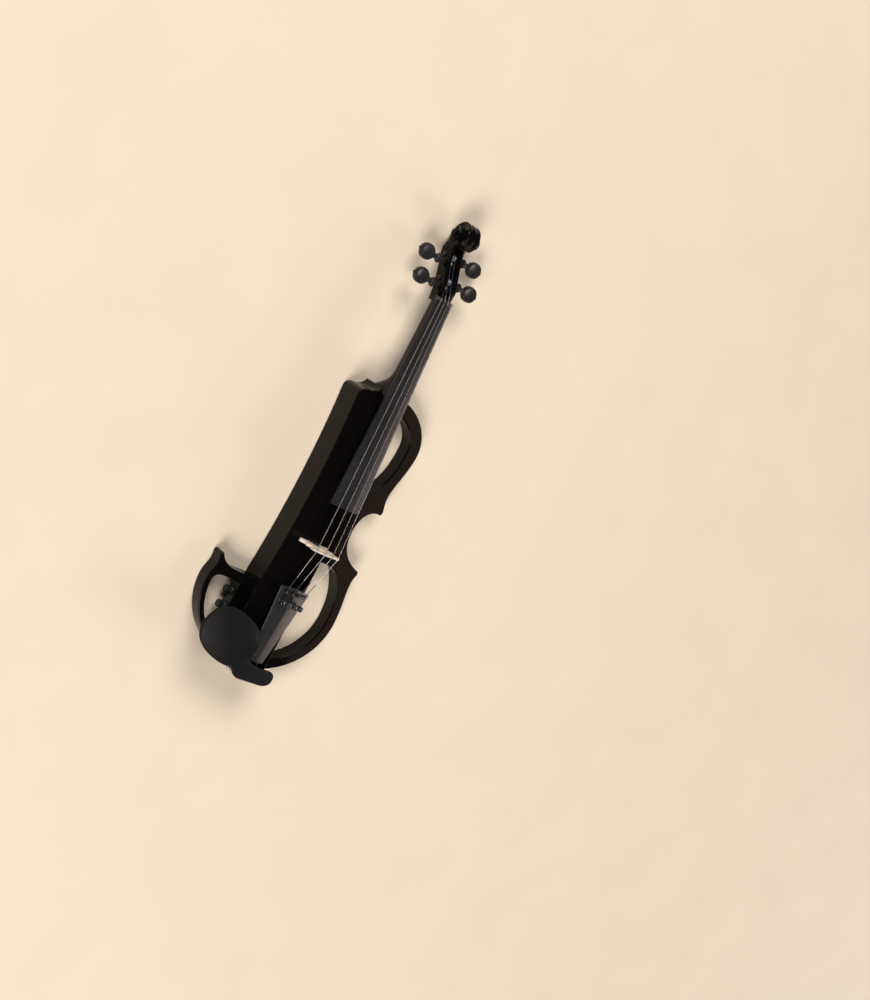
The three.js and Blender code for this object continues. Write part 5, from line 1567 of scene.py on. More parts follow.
class Bridge:
    """The bridge and the pickup strip below it."""

    FOOT = 41.9
    TOP = 81.5
    SPAN = 42.0
    CROWN_HALF = 20.5
    THICK = 4.6
    TOP_THICK = 1.6
    SIDE = ((0.42, 0.0), (0.98, 0.0), (1.0, 0.035), (0.97, 0.07), (0.86, 0.12), (0.78, 0.21), (0.8, 0.3),
            (0.91, 0.355), (0.955, 0.395), (0.9, 0.435), (0.74, 0.452), (0.63, 0.5), (0.68, 0.555),
            (0.85, 0.585),
            (0.95, 0.645), (0.98, 0.74))
    ARCH = ((0.35, 0.07), (0.22, 0.19), (0.1, 0.232), (0.0, 0.24))
    HEART = ((0.11, 0.49), (0.205, 0.58), (0.19, 0.655), (0.11, 0.685), (0.035, 0.665))

    @classmethod
    def top(cls, x: float) -> float:
        """Returns the height of the bridge's crown."""
        return cls.TOP - Strings.board_drop(x) - 1.8 * x / Strings.BRIDGE_SPREAD

    def spot(self, across: float, up: float) -> Vector:
        """Returns a place on the plate from shares of its width and height."""
        return vec(self.SPAN / 2 * across, lerp(self.FOOT, self.TOP, up))

    def outline(self) -> Ring:
        """Returns the smooth outline, with a groove for each string."""
        half = self.CROWN_HALF
        side = [self.spot(*share) for share in self.SIDE]
        right = curve_through([*side, vec(half, self.top(half))], 5)
        crown = []
        for share in steps(120)[1:-1]:
            x = half * (1 - 2 * share)
            groove = sum(0.35 * math.exp(-((x - Strings.bridge_x(n)) / 0.45) ** 2) for n in Strings.NAMES)
            crown.append(vec(x, self.top(x) - groove))
        left = curve_through([vec(-half, self.top(-half)), *mirrored(side)], 5)
        arch = curve_through([self.spot(*share) for share in self.ARCH], 5)
        return arch[::-1] + right + crown + left + mirrored(arch[:-1])[::-1]

    def heart(self) -> Shape:
        """Returns the heart-shaped hole."""
        side = [self.spot(*share) for share in self.HEART]
        spots = [self.spot(0, 0.405), *side, self.spot(0, 0.635), *mirrored(side)]
        return rounded_slab(curve_through(spots, 4, closed=True), -5, 5, 0.01, 1)

    def plate(self) -> Shape:
        """Returns the plate, thinner towards its top, with softened edges."""
        flat = cut(rounded_slab(self.outline(), -self.THICK / 2, self.THICK / 2, 0.4, 3), self.heart())
        points = []
        for p in flat.points:
            share = min(1.0, max(0.0, (p.y - self.FOOT) / (self.TOP - self.FOOT)))
            points.append(vec(p.x, -p.z * lerp(1.0, self.TOP_THICK / self.THICK, share ** 0.85), p.y))
        return Shape(points, flat.faces)

    def pickup(self) -> Shape:
        """Returns the pickup strip with a shallow channel along its edges."""
        low, high = corners("bridge_pickup")
        grooves = [block((low.x - 1, y - 0.25, high.z - 0.35), (high.x + 1, y + 0.25, high.z + 1))
                   for y in (low.y + 0.75, high.y - 0.75)]
        return cut(rounded_box(low, high, 0.4), *grooves)

    def guard(self) -> Shape:
        """Returns the thin guard below the highest string."""
        x = Strings.bridge_x("e")
        rings = []
        for along in (-1.9, 1.9):
            low = [vec(x + side, along, self.top(x + side) + 0.05) for side in (1.7, 0.85, 0, -0.85, -1.7)]
            rings.append([p + UP * 0.14 for p in reversed(low)] + low)
        return loft(rings)

    def build(self) -> None:
        """Adds the bridge, its string guard and the pickup."""
        add_piece("bridge_carved", self.plate(), MAPLE, ["bridge"], 38)
        add_piece("pickup_strip", self.pickup(), TRIM_PLASTIC, ["bridge_pickup"])
        add_piece("bridge_string_guard", self.guard(), PARCHMENT)


# Strings

class Strings:
    """Where the strings run, and the strings themselves."""

    NAMES = ("g", "d", "a", "e")
    RADII = {"g": 0.42, "d": 0.4, "a": 0.36, "e": 0.3}
    REST = 0.25
    BOARD_LENGTH = 270.0
    BOARD_WIDTH = 24.0
    BOARD_FLARE = 18.0
    BOARD_LOW = 48.5
    BOARD_RISE = 18.0
    CROWN_RADIUS = 42.0
    NUT_SPREAD = 16.5
    BRIDGE_SPREAD = 34.0
    THREAD = 0.13
    BALL = ((0.45, -1.3), (1.15, -1.3), (1.35, -1.1), (1.0, -0.55), (0.95, 0.0), (1.0, 0.55), (1.35, 1.1),
            (1.15, 1.3), (0.45, 1.3))

    @classmethod
    def board_z(cls, y: float) -> float:
        """Returns the height of the fingerboard's edge at a distance."""
        return cls.BOARD_LOW + cls.BOARD_RISE * (NUT_Y - y) / cls.BOARD_LENGTH

    @classmethod
    def board_half(cls, y: float) -> float:
        """Returns half the fingerboard's width at a distance."""
        return (cls.BOARD_WIDTH + cls.BOARD_FLARE * (NUT_Y - y) / cls.BOARD_LENGTH) / 2

    @classmethod
    def board_drop(cls, x: float) -> float:
        """Returns how far the crown falls at a distance from the middle."""
        return cls.CROWN_RADIUS - math.sqrt(cls.CROWN_RADIUS ** 2 - x * x)

    @classmethod
    def share(cls, name: str) -> float:
        """Returns a string's place across the row, from -0.5 to 0.5."""
        return cls.NAMES.index(name) / 3 - 0.5

    @classmethod
    def nut_x(cls, name: str) -> float:
        """Returns where a string crosses the nut."""
        return cls.NUT_SPREAD * cls.share(name)

    @classmethod
    def bridge_x(cls, name: str) -> float:
        """Returns where a string crosses the bridge."""
        return cls.BRIDGE_SPREAD * cls.share(name)

    @staticmethod
    def finish(name: str) -> Finish:
        """Returns the finish of a string: the highest is plain, the others are wound."""
        return PLAIN_STRING if name == "e" else WOUND

    @staticmethod
    def taper(share: float) -> float:
        """Returns the factor on a thread's radius at a share of its length."""
        return 1.0 if 0.02 < share < 0.98 else 0.82

    def path(self, name: str) -> list[Vector]:
        """Lists the points of a string from its peg to its tuner.

        Args:
            name: the string.

        Returns:
            The points of its centre line.
        """
        lift, x = self.RADII[name] + self.REST, self.nut_x(name)
        crown = self.BOARD_LOW + self.board_drop(self.BOARD_WIDTH / 2) - self.board_drop(abs(x)) + 1.2
        start, end = Pegs.leaving(name), Tail.string_end(name)
        nut = vec(x, NUT_Y + 3.0, crown + lift)
        rest = vec(self.bridge_x(name), 0, Bridge.top(self.bridge_x(name)) + lift)
        return [start, start.lerp(nut, 0.5), start.lerp(nut, 0.93), nut + UP * 0.05,
                *(nut.lerp(rest, share) for share in (0.006, 0.2, 0.4, 0.6, 0.8, 0.996)),
                rest + UP * 0.05, rest.lerp(end, 0.02), rest.lerp(end, 0.5), end]

    def wrap(self, name: str, start: Vector, end: Vector, shares: Sequence[float]) -> Shape:
        """Returns the thread round a part of a string, at shares of the way between two points."""
        path = [start.lerp(end, share) for share in shares]
        return tube(path, self.RADII[name] + self.THREAD, 14, self.taper)

    def build(self) -> None:
        """Adds every string with the thread at its ends and the ball behind its hook."""
        for name in self.NAMES:
            path = self.path(name)
            add_piece(f"string_run_{name}", tube(path, self.RADII[name], 14), self.finish(name),
                      [f"string_{name}"], 60)
            wraps = self.wrap(name, path[-1], path[-4], (0.02, 0.05, 0.2, 0.34, 0.36))
            wraps += self.wrap(name, path[0], path[3], (0.06, 0.1, 0.5, 0.8, 0.84))
            add_piece(f"string_thread_{name}", wraps, SILK, sharp=60)
            ball = lathe(self.BALL, Tail.string_end(name) - ALONG * 0.65, ACROSS, 24)
            add_piece(f"string_ball_{name}", ball, BLACK_NICKEL, body=f"{name}_lever", slot="string_steel")


# Pegs

@dataclass(frozen=True)
class PegSize:
    """Sizes of a tuning peg."""

    shaft: float = 3.7
    tip: float = 3.1
    collar: float = 6.0
    collar_length: float = 3.4
    stem: float = 3.4
    stem_length: float = 6.0
    head_length: float = 21.0
    head_half: float = 10.0
    head_rim: float = 3.9
    head_dish: float = 2.3
    pip: float = 1.7
    out: float = 2.0
    gap: float = 7.0


class Pegs:
    """The four tuning pegs with the string wound on each."""

    PLACES = {"g": 0, "e": 0.62, "d": 2, "a": 2.62}
    SIDES = {"g": -1, "d": -1, "a": 1, "e": 1}
    WOUND_AT = {"g": -3.0, "e": 3.0, "d": -2.2, "a": 2.2}
    FIRST_Y, FIRST_Z, STEP, FALL = 345, 34, 14.5, 7
    SIZE = PegSize()

    @classmethod
    def axis(cls, name: str) -> Vector:
        """Returns the point where a peg crosses the pegbox's middle."""
        place = cls.PLACES[name]
        return vec(0, cls.FIRST_Y + cls.STEP * place, cls.FIRST_Z - cls.FALL * place)

    @classmethod
    def wall(cls, name: str) -> float:
        """Returns half the pegbox's width at a peg."""
        share = (cls.axis(name).y - NUT_Y) / (HeadSize.box_end - NUT_Y)
        return lerp(HeadSize.box_half, HeadSize.box_end_half, share)

    @classmethod
    def hole(cls, name: str) -> Shape:
        """Returns what a peg's holes take out of the pegbox."""
        reach = ACROSS * (24.0 * cls.SIDES[name])
        return lathe([(3.95, 0), (3.35, 48)], cls.axis(name) + reach, -reach, 32)

    @classmethod
    def leaving(cls, name: str) -> Vector:
        """Returns where a string leaves its peg."""
        spot = cls.axis(name)
        return vec(cls.WOUND_AT[name], spot.y + 0.98, spot.z + 4.9 + Strings.RADII[name] + SEAM)

    def head(self, name: str, start: float) -> Shape:
        """Draws a peg's flat head, dished on both faces.

        Args:
            name: the peg.
            start: how far along the peg's axis the head begins.

        Returns:
            The head.
        """
        s, side, spot = self.SIZE, self.SIDES[name], self.axis(name)
        rim, dish = s.head_rim, s.head_dish
        rows = [(0.02, dish), (0.3, dish + 0.1), (0.5, dish + 0.5), (0.68, rim - 0.5), (0.8, rim),
                (0.88, rim - 0.12), (0.94, rim - 0.8), (0.98, rim - 1.9), (1.0, 0.9)]
        rows += [(share, -height) for share, height in reversed(rows)]
        half = s.head_length / 2
        rings = []
        for share, height in rows:
            ring = []
            for i in range(56):
                angle = 2 * math.pi * i / 56
                c, q = math.cos(angle), math.sin(angle)
                reach = share * (abs(c) ** 2.25 + abs(q) ** 2.25) ** (-1 / 2.25)
                narrow = 1 - 0.1 * max(0.0, -c) ** 3
                along, across = start + half + half * reach * c, s.head_half * reach * q * narrow
                ring.append(spot + vec(side * along, across, height))
            rings.append(ring)
        return loft(rings)

    def peg(self, name: str) -> Shape:
        """Returns one peg.

        Args:
            name: the string that it tunes.

        Returns:
            The peg.
        """
        s, spot, way = self.SIZE, self.axis(name), ACROSS * self.SIDES[name]
        wall = self.wall(name)
        tip, collar = -wall - s.out, wall + s.gap
        stem = collar + s.collar_length
        head = stem + s.stem_length
        end = head + s.head_length
        shaft = [(s.tip - 0.9, tip), (s.tip - 0.3, tip + 0.15), (s.tip, tip + 0.6), (s.shaft, wall),
                 (s.shaft, collar - SEAM), (s.collar * 0.84, collar - 0.1), (s.collar * 0.95, collar + 0.35),
                 (s.collar, collar + 1.0), (s.collar, collar + 1.5), (s.collar * 0.86, collar + 1.9),
                 (s.collar * 0.84, collar + 2.1), (s.collar * 0.93, collar + 2.4),
                 (s.collar * 0.92, collar + 2.8),
                 (s.stem * 1.2, stem + 0.1), (s.stem * 0.98, stem + 1.4), (s.stem * 0.96, stem + 3.0),
                 (s.stem * 1.05, stem + 4.6), (s.stem * 0.98, head + 1.6), (s.stem * 0.7, head + 5.5)]
        pip = [(0.5, end - 1.6), (s.pip * 0.95, end - 1.0), (s.pip * 1.12, end - 0.4),
               (s.pip * 0.8, end + 0.1),
               (s.pip * 0.98, end + 0.7), (s.pip * 0.95, end + 1.4), (s.pip * 0.6, end + 2.0),
               (s.pip * 0.15, end + 2.3)]
        return lathe(shaft, spot, way, 40) + self.head(name, head) + lathe(pip, spot, way, 24)

    def winding(self, name: str) -> Shape:
        """Returns the turns of string on a peg.

        Args:
            name: the string.

        Returns:
            The turns.
        """
        spot, radius, steps_round = self.axis(name), Strings.RADII[name], 28
        pitch = radius * 2.1
        turns = int(5.4 / pitch)
        reach = self.SIZE.shaft + 0.1 + radius
        first = self.WOUND_AT[name] - pitch * turns / 2
        path = []
        for i in range(turns * steps_round + 1):
            angle = math.pi / 2 + 2 * math.pi * i / steps_round
            path.append(spot + vec(first + pitch * i / steps_round, reach * math.cos(angle),
                                   reach * math.sin(angle)))
        return tube(path, radius, 8)

    def build(self) -> None:
        """Adds the pegs, each turning with its winding."""
        for name in Strings.NAMES:
            body = f"{name}_peg"
            add_piece(f"peg_turned_{name}", self.peg(name), PEG_WOOD, [f"peg_{name}"], 32, body)
            add_piece(f"winding_{name}", self.winding(name), Strings.finish(name), [f"string_winding_{name}"],
                      60, body)


# Tailpiece, tuners, saddle, cord and button

@dataclass(frozen=True)
class TailSize:
    """Sizes of the tailpiece and its fine tuners."""

    start: float = -56.0
    end: float = -159.0
    wide: float = 21.5
    narrow: float = 10.5
    wide_z: float = 53.0
    narrow_z: float = 45.0
    thick: float = 5.0
    crown: float = 4.5
    slot_half: float = 1.7
    hook_y: float = -61.0
    screw_y: float = -76.0
    tuner_spread: float = 27.0
    cord_x: float = 6.0
    cord_rise: float = 1.54


class Tail:
    """Everything that holds the strings at the tail."""

    SIZE = TailSize()

    @classmethod
    def share(cls, y: float) -> float:
        """Returns how far along the tailpiece a place is."""
        s = cls.SIZE
        return (s.start - y) / (s.start - s.end)

    @classmethod
    def base(cls, y: float) -> float:
        """Returns the height of the tailpiece's underside."""
        return lerp(cls.SIZE.wide_z, cls.SIZE.narrow_z, cls.share(y))

    @classmethod
    def top(cls, x: float, y: float) -> float:
        """Returns the height of the tailpiece's roof-shaped top.

        Args:
            x: how far from the middle.
            y: how far along.

        Returns:
            The height.
        """
        s = cls.SIZE
        flat = abs(x) / s.wide
        blend = math.sqrt(flat * flat + 0.0016) - 0.04
        return cls.base(y) + s.thick - s.crown * lerp(flat * flat, blend, 0.6)

    @classmethod
    def tuner_x(cls, name: str) -> float:
        """Returns where a tuner sits."""
        return cls.SIZE.tuner_spread * Strings.share(name)

    @classmethod
    def string_end(cls, name: str) -> Vector:
        """Returns where a string ends behind its hook."""
        return vec(cls.tuner_x(name), cls.SIZE.hook_y - 1.9, corners(f"tuner_lever_{name}")[1].z - 1.7)

    def ring(self, y: float, trim: float) -> Ring:
        """Draws a section of the tailpiece.

        Args:
            y: where it is.
            trim: how far its edges are taken in.

        Returns:
            The section. Its ends bow outwards a little.
        """
        s, share = self.SIZE, self.share(y)
        half, low = lerp(s.wide, s.narrow, share) - trim, self.base(y)
        bow = -2.2 * max(0.0, 1 - share / 0.14) ** 2
        places = [(half - 0.5) * (2 * step - 1) for step in steps(40)]
        ring = [vec(x, y + bow * (x / s.wide) ** 2, self.top(x, y) - trim * 0.7) for x in places]
        edge, floor = self.top(half, y) - trim * 0.7, low + trim * 0.3
        shift = y + bow * (half / s.wide) ** 2
        side = [vec(half - 0.14, shift, edge - 0.14), vec(half, shift, edge - 0.55),
                vec(half * 0.985, shift, max(low + 0.5, edge - 2.4)), vec(half * 0.965, shift, low + 0.35),
                vec(half * 0.94, shift, floor)]
        hollow = 1.7 * ease((share - 0.03) / 0.05) * ease((0.97 - share) / 0.05)
        below = []
        for place in (1 - 2 * step for step in steps(12)):
            x = half * 0.86 * place
            below.append(vec(x, y + bow * (x / s.wide) ** 2,
                             floor + hollow * math.sqrt(max(0.0, 1 - abs(place) ** 3))))
        return ring + side + below + mirrored(side)

    def tailpiece(self) -> Shape:
        """Returns the tailpiece with its slots, screw holes and cord holes."""
        s = self.SIZE
        ends = ((0.0, 1.1), (0.25, 0.55), (0.8, 0.15), (1.6, 0.0))
        rows = [(s.start - along, trim) for along, trim in ends]
        rows += [(lerp(s.start - 2.6, s.end + 2.6, share), 0.0) for share in steps(48)]
        rows += [(s.end + along, trim) for along, trim in reversed(ends)]
        tools = []
        for x in map(self.tuner_x, Strings.NAMES):
            spot = vec(x, s.screw_y, self.top(x, s.screw_y) - 0.9)
            tools += [rounded_box((x - s.slot_half, s.hook_y - 2.4, 40),
                                  (x + s.slot_half, s.hook_y + 1.3, 70), 0.8),
                      upright(spot, 40, 70, 1.5), lathe([(1.5, 0), (2.3, 1.2), (2.6, 6)], spot, UP, 24)]
        hole_z = self.base(s.end) + s.cord_rise
        tools += [rod((x, s.end - 4, hole_z), (x, s.end + 8, hole_z), 1.4, 20) for x in (-s.cord_x, s.cord_x)]
        return cut(loft([self.ring(y, trim) for y, trim in rows]), *tools)

    def lever(self, name: str) -> Shape:
        """Returns a tuner's lever, its hook slotted for the string.

        Args:
            name: the string that it tunes.

        Returns:
            The lever.
        """
        s, x = self.SIZE, self.tuner_x(name)
        low, high = corners(f"tuner_lever_{name}")
        front, back, far = s.hook_y + 1, s.hook_y - 1, s.screw_y
        outline = [(front - 0.3, low.z), (front, low.z + 0.4), (front, high.z - 1.2),
                   (front - 0.25, high.z - 0.35),
                   (front - 0.8, high.z), (back + 0.35, high.z - 0.1), (back, high.z - 0.6),
                   (back, low.z + 3.0),
                   (back - 0.4, low.z + 2.25), (back - 1.2, low.z + 2.0), (far + 3, low.z + 2.0),
                   (far - 1.4, low.z + 2.0), (far - 2, low.z + 1.5), (far - 2, low.z + 0.5),
                   (far - 1.5, low.z), (far + 4, low.z)]
        body = side_slab(outline, high.x - low.x, 0.25, 3).shifted(x)
        slot = rounded_box((x - 0.6, back - 2, self.string_end(name).z - 0.75),
                           (x + 0.6, front + 2, high.z + 1), 0.2)
        return cut(body, slot)

    def screw(self, name: str) -> Shape:
        """Returns a tuner's thumb screw with a fluted grip and a threaded shaft.

        Args:
            name: the string that it tunes.

        Returns:
            The screw.
        """
        low, high = corners(f"tuner_screw_{name}")
        base = high.z - 5
        profile = [(0.6, low.z), (0.95, low.z + 0.3), *thread(1.2, 0.22, 0.44, low.z + 0.6, base - 0.9),
                   (1.2, base - 0.4), (1.9, base - 0.25), (3.1, base + 0.1), (3.6, base + 0.6),
                   (3.6, base + 1.6),
                   (3.6, base + 3.4), (3.55, base + 4.2), (3.1, base + 4.75), (2.6, base + 4.85),
                   (2.3, base + 4.7),
                   (1.9, base + 5.0)]
        grip = len(profile) - 7
        return lathe(profile, vec(self.tuner_x(name), self.SIZE.screw_y), UP, 96, 24, 0.32,
                     (grip - 1, grip, grip + 1))

    def saddle(self) -> Shape:
        """Returns the saddle, rounded where the cord crosses it."""
        low, high = corners("saddle")
        flat = [(low.y, low.z), (high.y, low.z), (high.y, high.z - 1.2), (high.y - 0.5, high.z - 0.4),
                (high.y - 1.6, high.z), (low.y + 2.2, high.z), (low.y + 1.0, high.z - 0.5),
                (low.y + 0.3, high.z - 1.3), (low.y, high.z - 2.2)]
        spots = [(x, high.z + 0.75) for x in (-self.SIZE.cord_x, self.SIZE.cord_x)]
        return cut(side_slab(flat, high.x - low.x, 0.35, 3),
                   *[rod((x, low.y - 2, z), (x, high.y + 2, z), 1.0, 16) for x, z in spots])

    def cord(self) -> Shape:
        """Returns the tail cord, looped round the button."""
        s = self.SIZE
        x, hole_z = -s.cord_x, self.base(s.end) + s.cord_rise
        top, front, reach = 42.6, -178.7, 5.2
        side = [vec(x, s.end + 4, hole_z), vec(x, s.end - 0.3, hole_z), vec(x, -166, 44.1),
                vec(x, -169.4, top),
                vec(x, -173.5, top), vec(-5.8, -176.9, 41.6), vec(-5.5, front + 0.2, 38.6),
                vec(-reach, front, 34),
                vec(-reach, front, 22)]
        loop = [vec(-reach * math.cos(a), front, 22 - reach * math.sin(a))
                for a in (math.pi * share for share in (0.2, 0.4, 0.6, 0.8))]
        return tube(curve_through(side + loop + mirrored(side), 6), 1.1, 16)

    def button(self) -> Shape:
        """Returns the end button with a groove for the cord."""
        profile = [(2.6, -18), (3.2, -17.6), (3.3, -16.8), (3.8, 0), (3.75, 1.2), (3.8, 3.2), (4.6, 3.45),
                   (6.0, 3.6), (6.5, 4.0), (6.6, 4.6), (6.55, 5.4), (6.1, 6.4), (5.2, 7.4), (4.2, 8.2),
                   (3.5, 8.6),
                   (2.9, 8.75), (2.4, 8.6), (2.0, 8.7), (1.2, 9.0)]
        return lathe(profile, vec(0, -177, 22), -ALONG, 48)

    def build(self) -> None:
        """Adds the tailpiece and what belongs to it."""
        add_piece("tailpiece_moulded", self.tailpiece(), FITTING_WOOD, ["tailpiece"], 28)
        for name in Strings.NAMES:
            add_piece(f"lever_{name}", self.lever(name), BLACK_NICKEL, [f"tuner_lever_{name}"], 36,
                      f"{name}_lever")
            add_piece(f"thumb_screw_{name}", self.screw(name), BLACK_NICKEL, [f"tuner_screw_{name}"], 38,
                      f"{name}_screw")
        add_piece("saddle_shaped", self.saddle(), FITTING_WOOD, ["saddle"], 40)
        add_piece("tail_cord", self.cord(), CORD_PLASTIC, ["tail_gut"], 60)
        add_piece("button_turned", self.button(), FITTING_WOOD, ["end_button"], 34)


# Chin rest and clamp

@dataclass(frozen=True)
class ChinSize:
    """Sizes of the chin rest."""

    x: float = -53.0
    y: float = -137.5
    half_x: float = 43.5
    half_y: float = 32.0
    turn: float = -0.35
    rim: float = 57.0
    bowl: float = 7.0
    thick: float = 5.5
    arm_right: float = 33.0
    arm_low: float = -184.5
    arm_width: float = 24.0
    rod: float = 1.5


class ChinRest:
    """The chin rest and the clamp that holds it at the tail."""

    CLAMPS = ("bass", "treble")
    UNDER = (0.05, 0.15, 0.3, 0.45, 0.6, 0.72, 0.82, 0.89, 0.935)
    OVER = (0.89, 0.83, 0.74, 0.64, 0.52, 0.4, 0.28, 0.16, 0.05)

    def __init__(self, size: ChinSize) -> None:
        """Keeps the sizes and the height of the arm's top."""
        self.size = size
        self.top = size.rim - size.thick * 0.7

    def spot(self, share: float, angle: float) -> Vector:
        """Returns a place on the plate's plan, from a share of its rim and an angle.

        Args:
            share: the share of its rim.
            angle: the angle.

        Returns:
            The place.
        """
        s = self.size
        c, q = math.cos(s.turn), math.sin(s.turn)
        reach = share * (1 + 0.03 * (1 - math.cos(4 * angle)))
        along, across = s.half_x * reach * math.cos(angle), s.half_y * reach * math.sin(angle)
        return vec(s.x + along * c - across * q, s.y + along * q + across * c)

    def ring(self, share: float, z: float) -> Ring:
        """Returns a ring of the plate, from its share of the rim and its height."""
        return [self.spot(share, 2 * math.pi * i / 112) + UP * z for i in range(112)]

    def bowl(self, share: float) -> float:
        """Returns the height of the bowl at a share of its rim."""
        return self.size.rim - self.size.bowl * (1 - share ** 2) * (1 - 0.25 * share ** 8)

    def plate(self) -> Shape:
        """Returns the hollowed plate with its rolled rim."""
        rim, thick = self.size.rim, self.size.thick
        under = [(share, self.bowl(share) - thick) for share in self.UNDER]
        roll = [(0.962, rim - thick * 0.86), (0.98, rim - thick * 0.7), (0.993, rim - thick * 0.5),
                (1.0, rim - thick * 0.3), (0.998, rim - thick * 0.17), (0.99, rim - thick * 0.07),
                (0.975, rim - 0.06), (0.955, rim - 0.03), (0.93, rim - 0.35)]
        over = [(share, self.bowl(share)) for share in self.OVER]
        return loft([self.ring(share, z) for share, z in under + roll + over])

    def arm(self) -> Shape:
        """Returns the arm that reaches over the tail."""
        s = self.size
        right, low, wide = s.arm_right, s.arm_low, s.arm_width
        high = low + wide * 0.86
        near, far = self.spot(0.85, -0.77), self.spot(0.88, 0.21)
        line = [
            near, *bends(near, ((-27.5, low + 8), (-21.5, low), (-13.6, low), 20)), vec(right * 0.5, low),
            *bends((right * 0.5, low), ((right * 0.86, low), (right, low + wide * 0.2),
                                        (right, low + wide * 0.48), 16),
                   ((right, low + wide * 0.74), (right * 0.9, high), (right * 0.7, high), 12),
                   ((0, high), (-12.5, high - 1), far, 26)),
        ]
        return rounded_slab(line, self.top - s.thick, self.top, 1.7, 6)

    def build(self) -> None:
        """Adds the chin rest with its rods, the barrels, the foot and the cork."""
        thick = self.size.thick
        bores = [upright(middle(f"clamp_rod_{side}"), self.top - thick - 4, self.top - thick * 0.3, 1.8)
                 for side in self.CLAMPS]
        rest = cut(unite(self.plate(), self.arm()), *bores)
        add_piece("chin_rest_moulded", rest, CHIN_PLASTIC, ["chin_rest"], 50, "chin_rest_plate")
        for side in self.CLAMPS:
            low, high = corners(f"clamp_rod_{side}")
            shaft = self.threaded(middle(f"clamp_rod_{side}"), low.z, high.z)
            add_piece(f"rod_threaded_{side}", shaft, NICKEL, [f"clamp_rod_{side}"], 50, "chin_rest_plate")
            add_piece(f"barrel_{side}", self.barrel(side), NICKEL, [f"clamp_barrel_{side}"], 36,
                      f"{side}_barrel")
        add_piece("foot_plate", self.foot(), NICKEL, ["clamp_foot"], 40)
        add_piece("cork_pad", rounded_box(*corners("clamp_cork"), 0.6, 4), CORK, ["clamp_cork"])

    def threaded(self, spot: Vector, low: float, high: float) -> Shape:
        """Draws an upright threaded rod.

        Args:
            spot: a point on its axis.
            low: the height of its lower end.
            high: the height of its upper end.

        Returns:
            The rod.
        """
        r = self.size.rod
        rows = [(r - 0.5, low), (r - 0.1, low + 0.4), *thread(r, 0.26, 0.7, low + 0.6, high - 0.9, 0.1),
                (r - 0.1, high - 0.3), (r - 0.5, high)]
        return lathe(rows, vec(spot.x, spot.y), UP, 24)

    def barrel(self, side: str) -> Shape:
        """Returns a turnbuckle barrel with its key hole and knurled ends.

        Args:
            side: bass or treble.

        Returns:
            The barrel.
        """
        low, high = corners(f"clamp_barrel_{side}")
        spot, r = middle(f"clamp_barrel_{side}"), 3.0
        rows = [(r - 0.5, 0), (r - 0.1, 0.35), (r, 0.8), (r, 2.6), (r - 0.3, 2.85), (r - 0.3, 3.3), (r, 3.6)]
        rows += [(radius, high.z - low.z - along) for radius, along in reversed(rows)]
        knurled = (2, 3, len(rows) - 4, len(rows) - 3)
        body = lathe(rows, vec(spot.x, spot.y, low.z), UP, 96, 24, 0.22, knurled)
        key = rod(spot - ALONG * 6, spot + ALONG * 6, 1.05, 20)
        return cut(body, upright(spot, low.z - 4, high.z + 4, 1.8), key)

    def foot(self) -> Shape:
        """Returns the foot with its rods."""
        low, high = corners("clamp_foot")
        side = [vec(high.x - 3, low.y), vec(high.x - 1, low.y + 0.8), vec(high.x, low.y + 3),
                vec(high.x - 0.2, low.y + 6), vec(high.x - 2.5, high.y - 3), vec(high.x - 5, high.y - 0.8),
                vec(high.x - 8, high.y)]
        shape = rounded_slab(side + mirrored(side), low.z, low.z + 2.4, 0.5, 4)
        spots = [middle(f"clamp_barrel_{clamp}") for clamp in self.CLAMPS]
        for spot in spots:
            shape += self.threaded(spot, low.z + 1.2, high.z)
        dome = [(3.4, low.z + 2.1), (3.3, low.z + 2.6), (2.7, low.z + 3.1), (1.6, low.z + 3.3)]
        for spot in spots:
            shape += lathe(dome, vec(spot.x, spot.y), UP, 32)
        return shape


# Controls, jacks and power

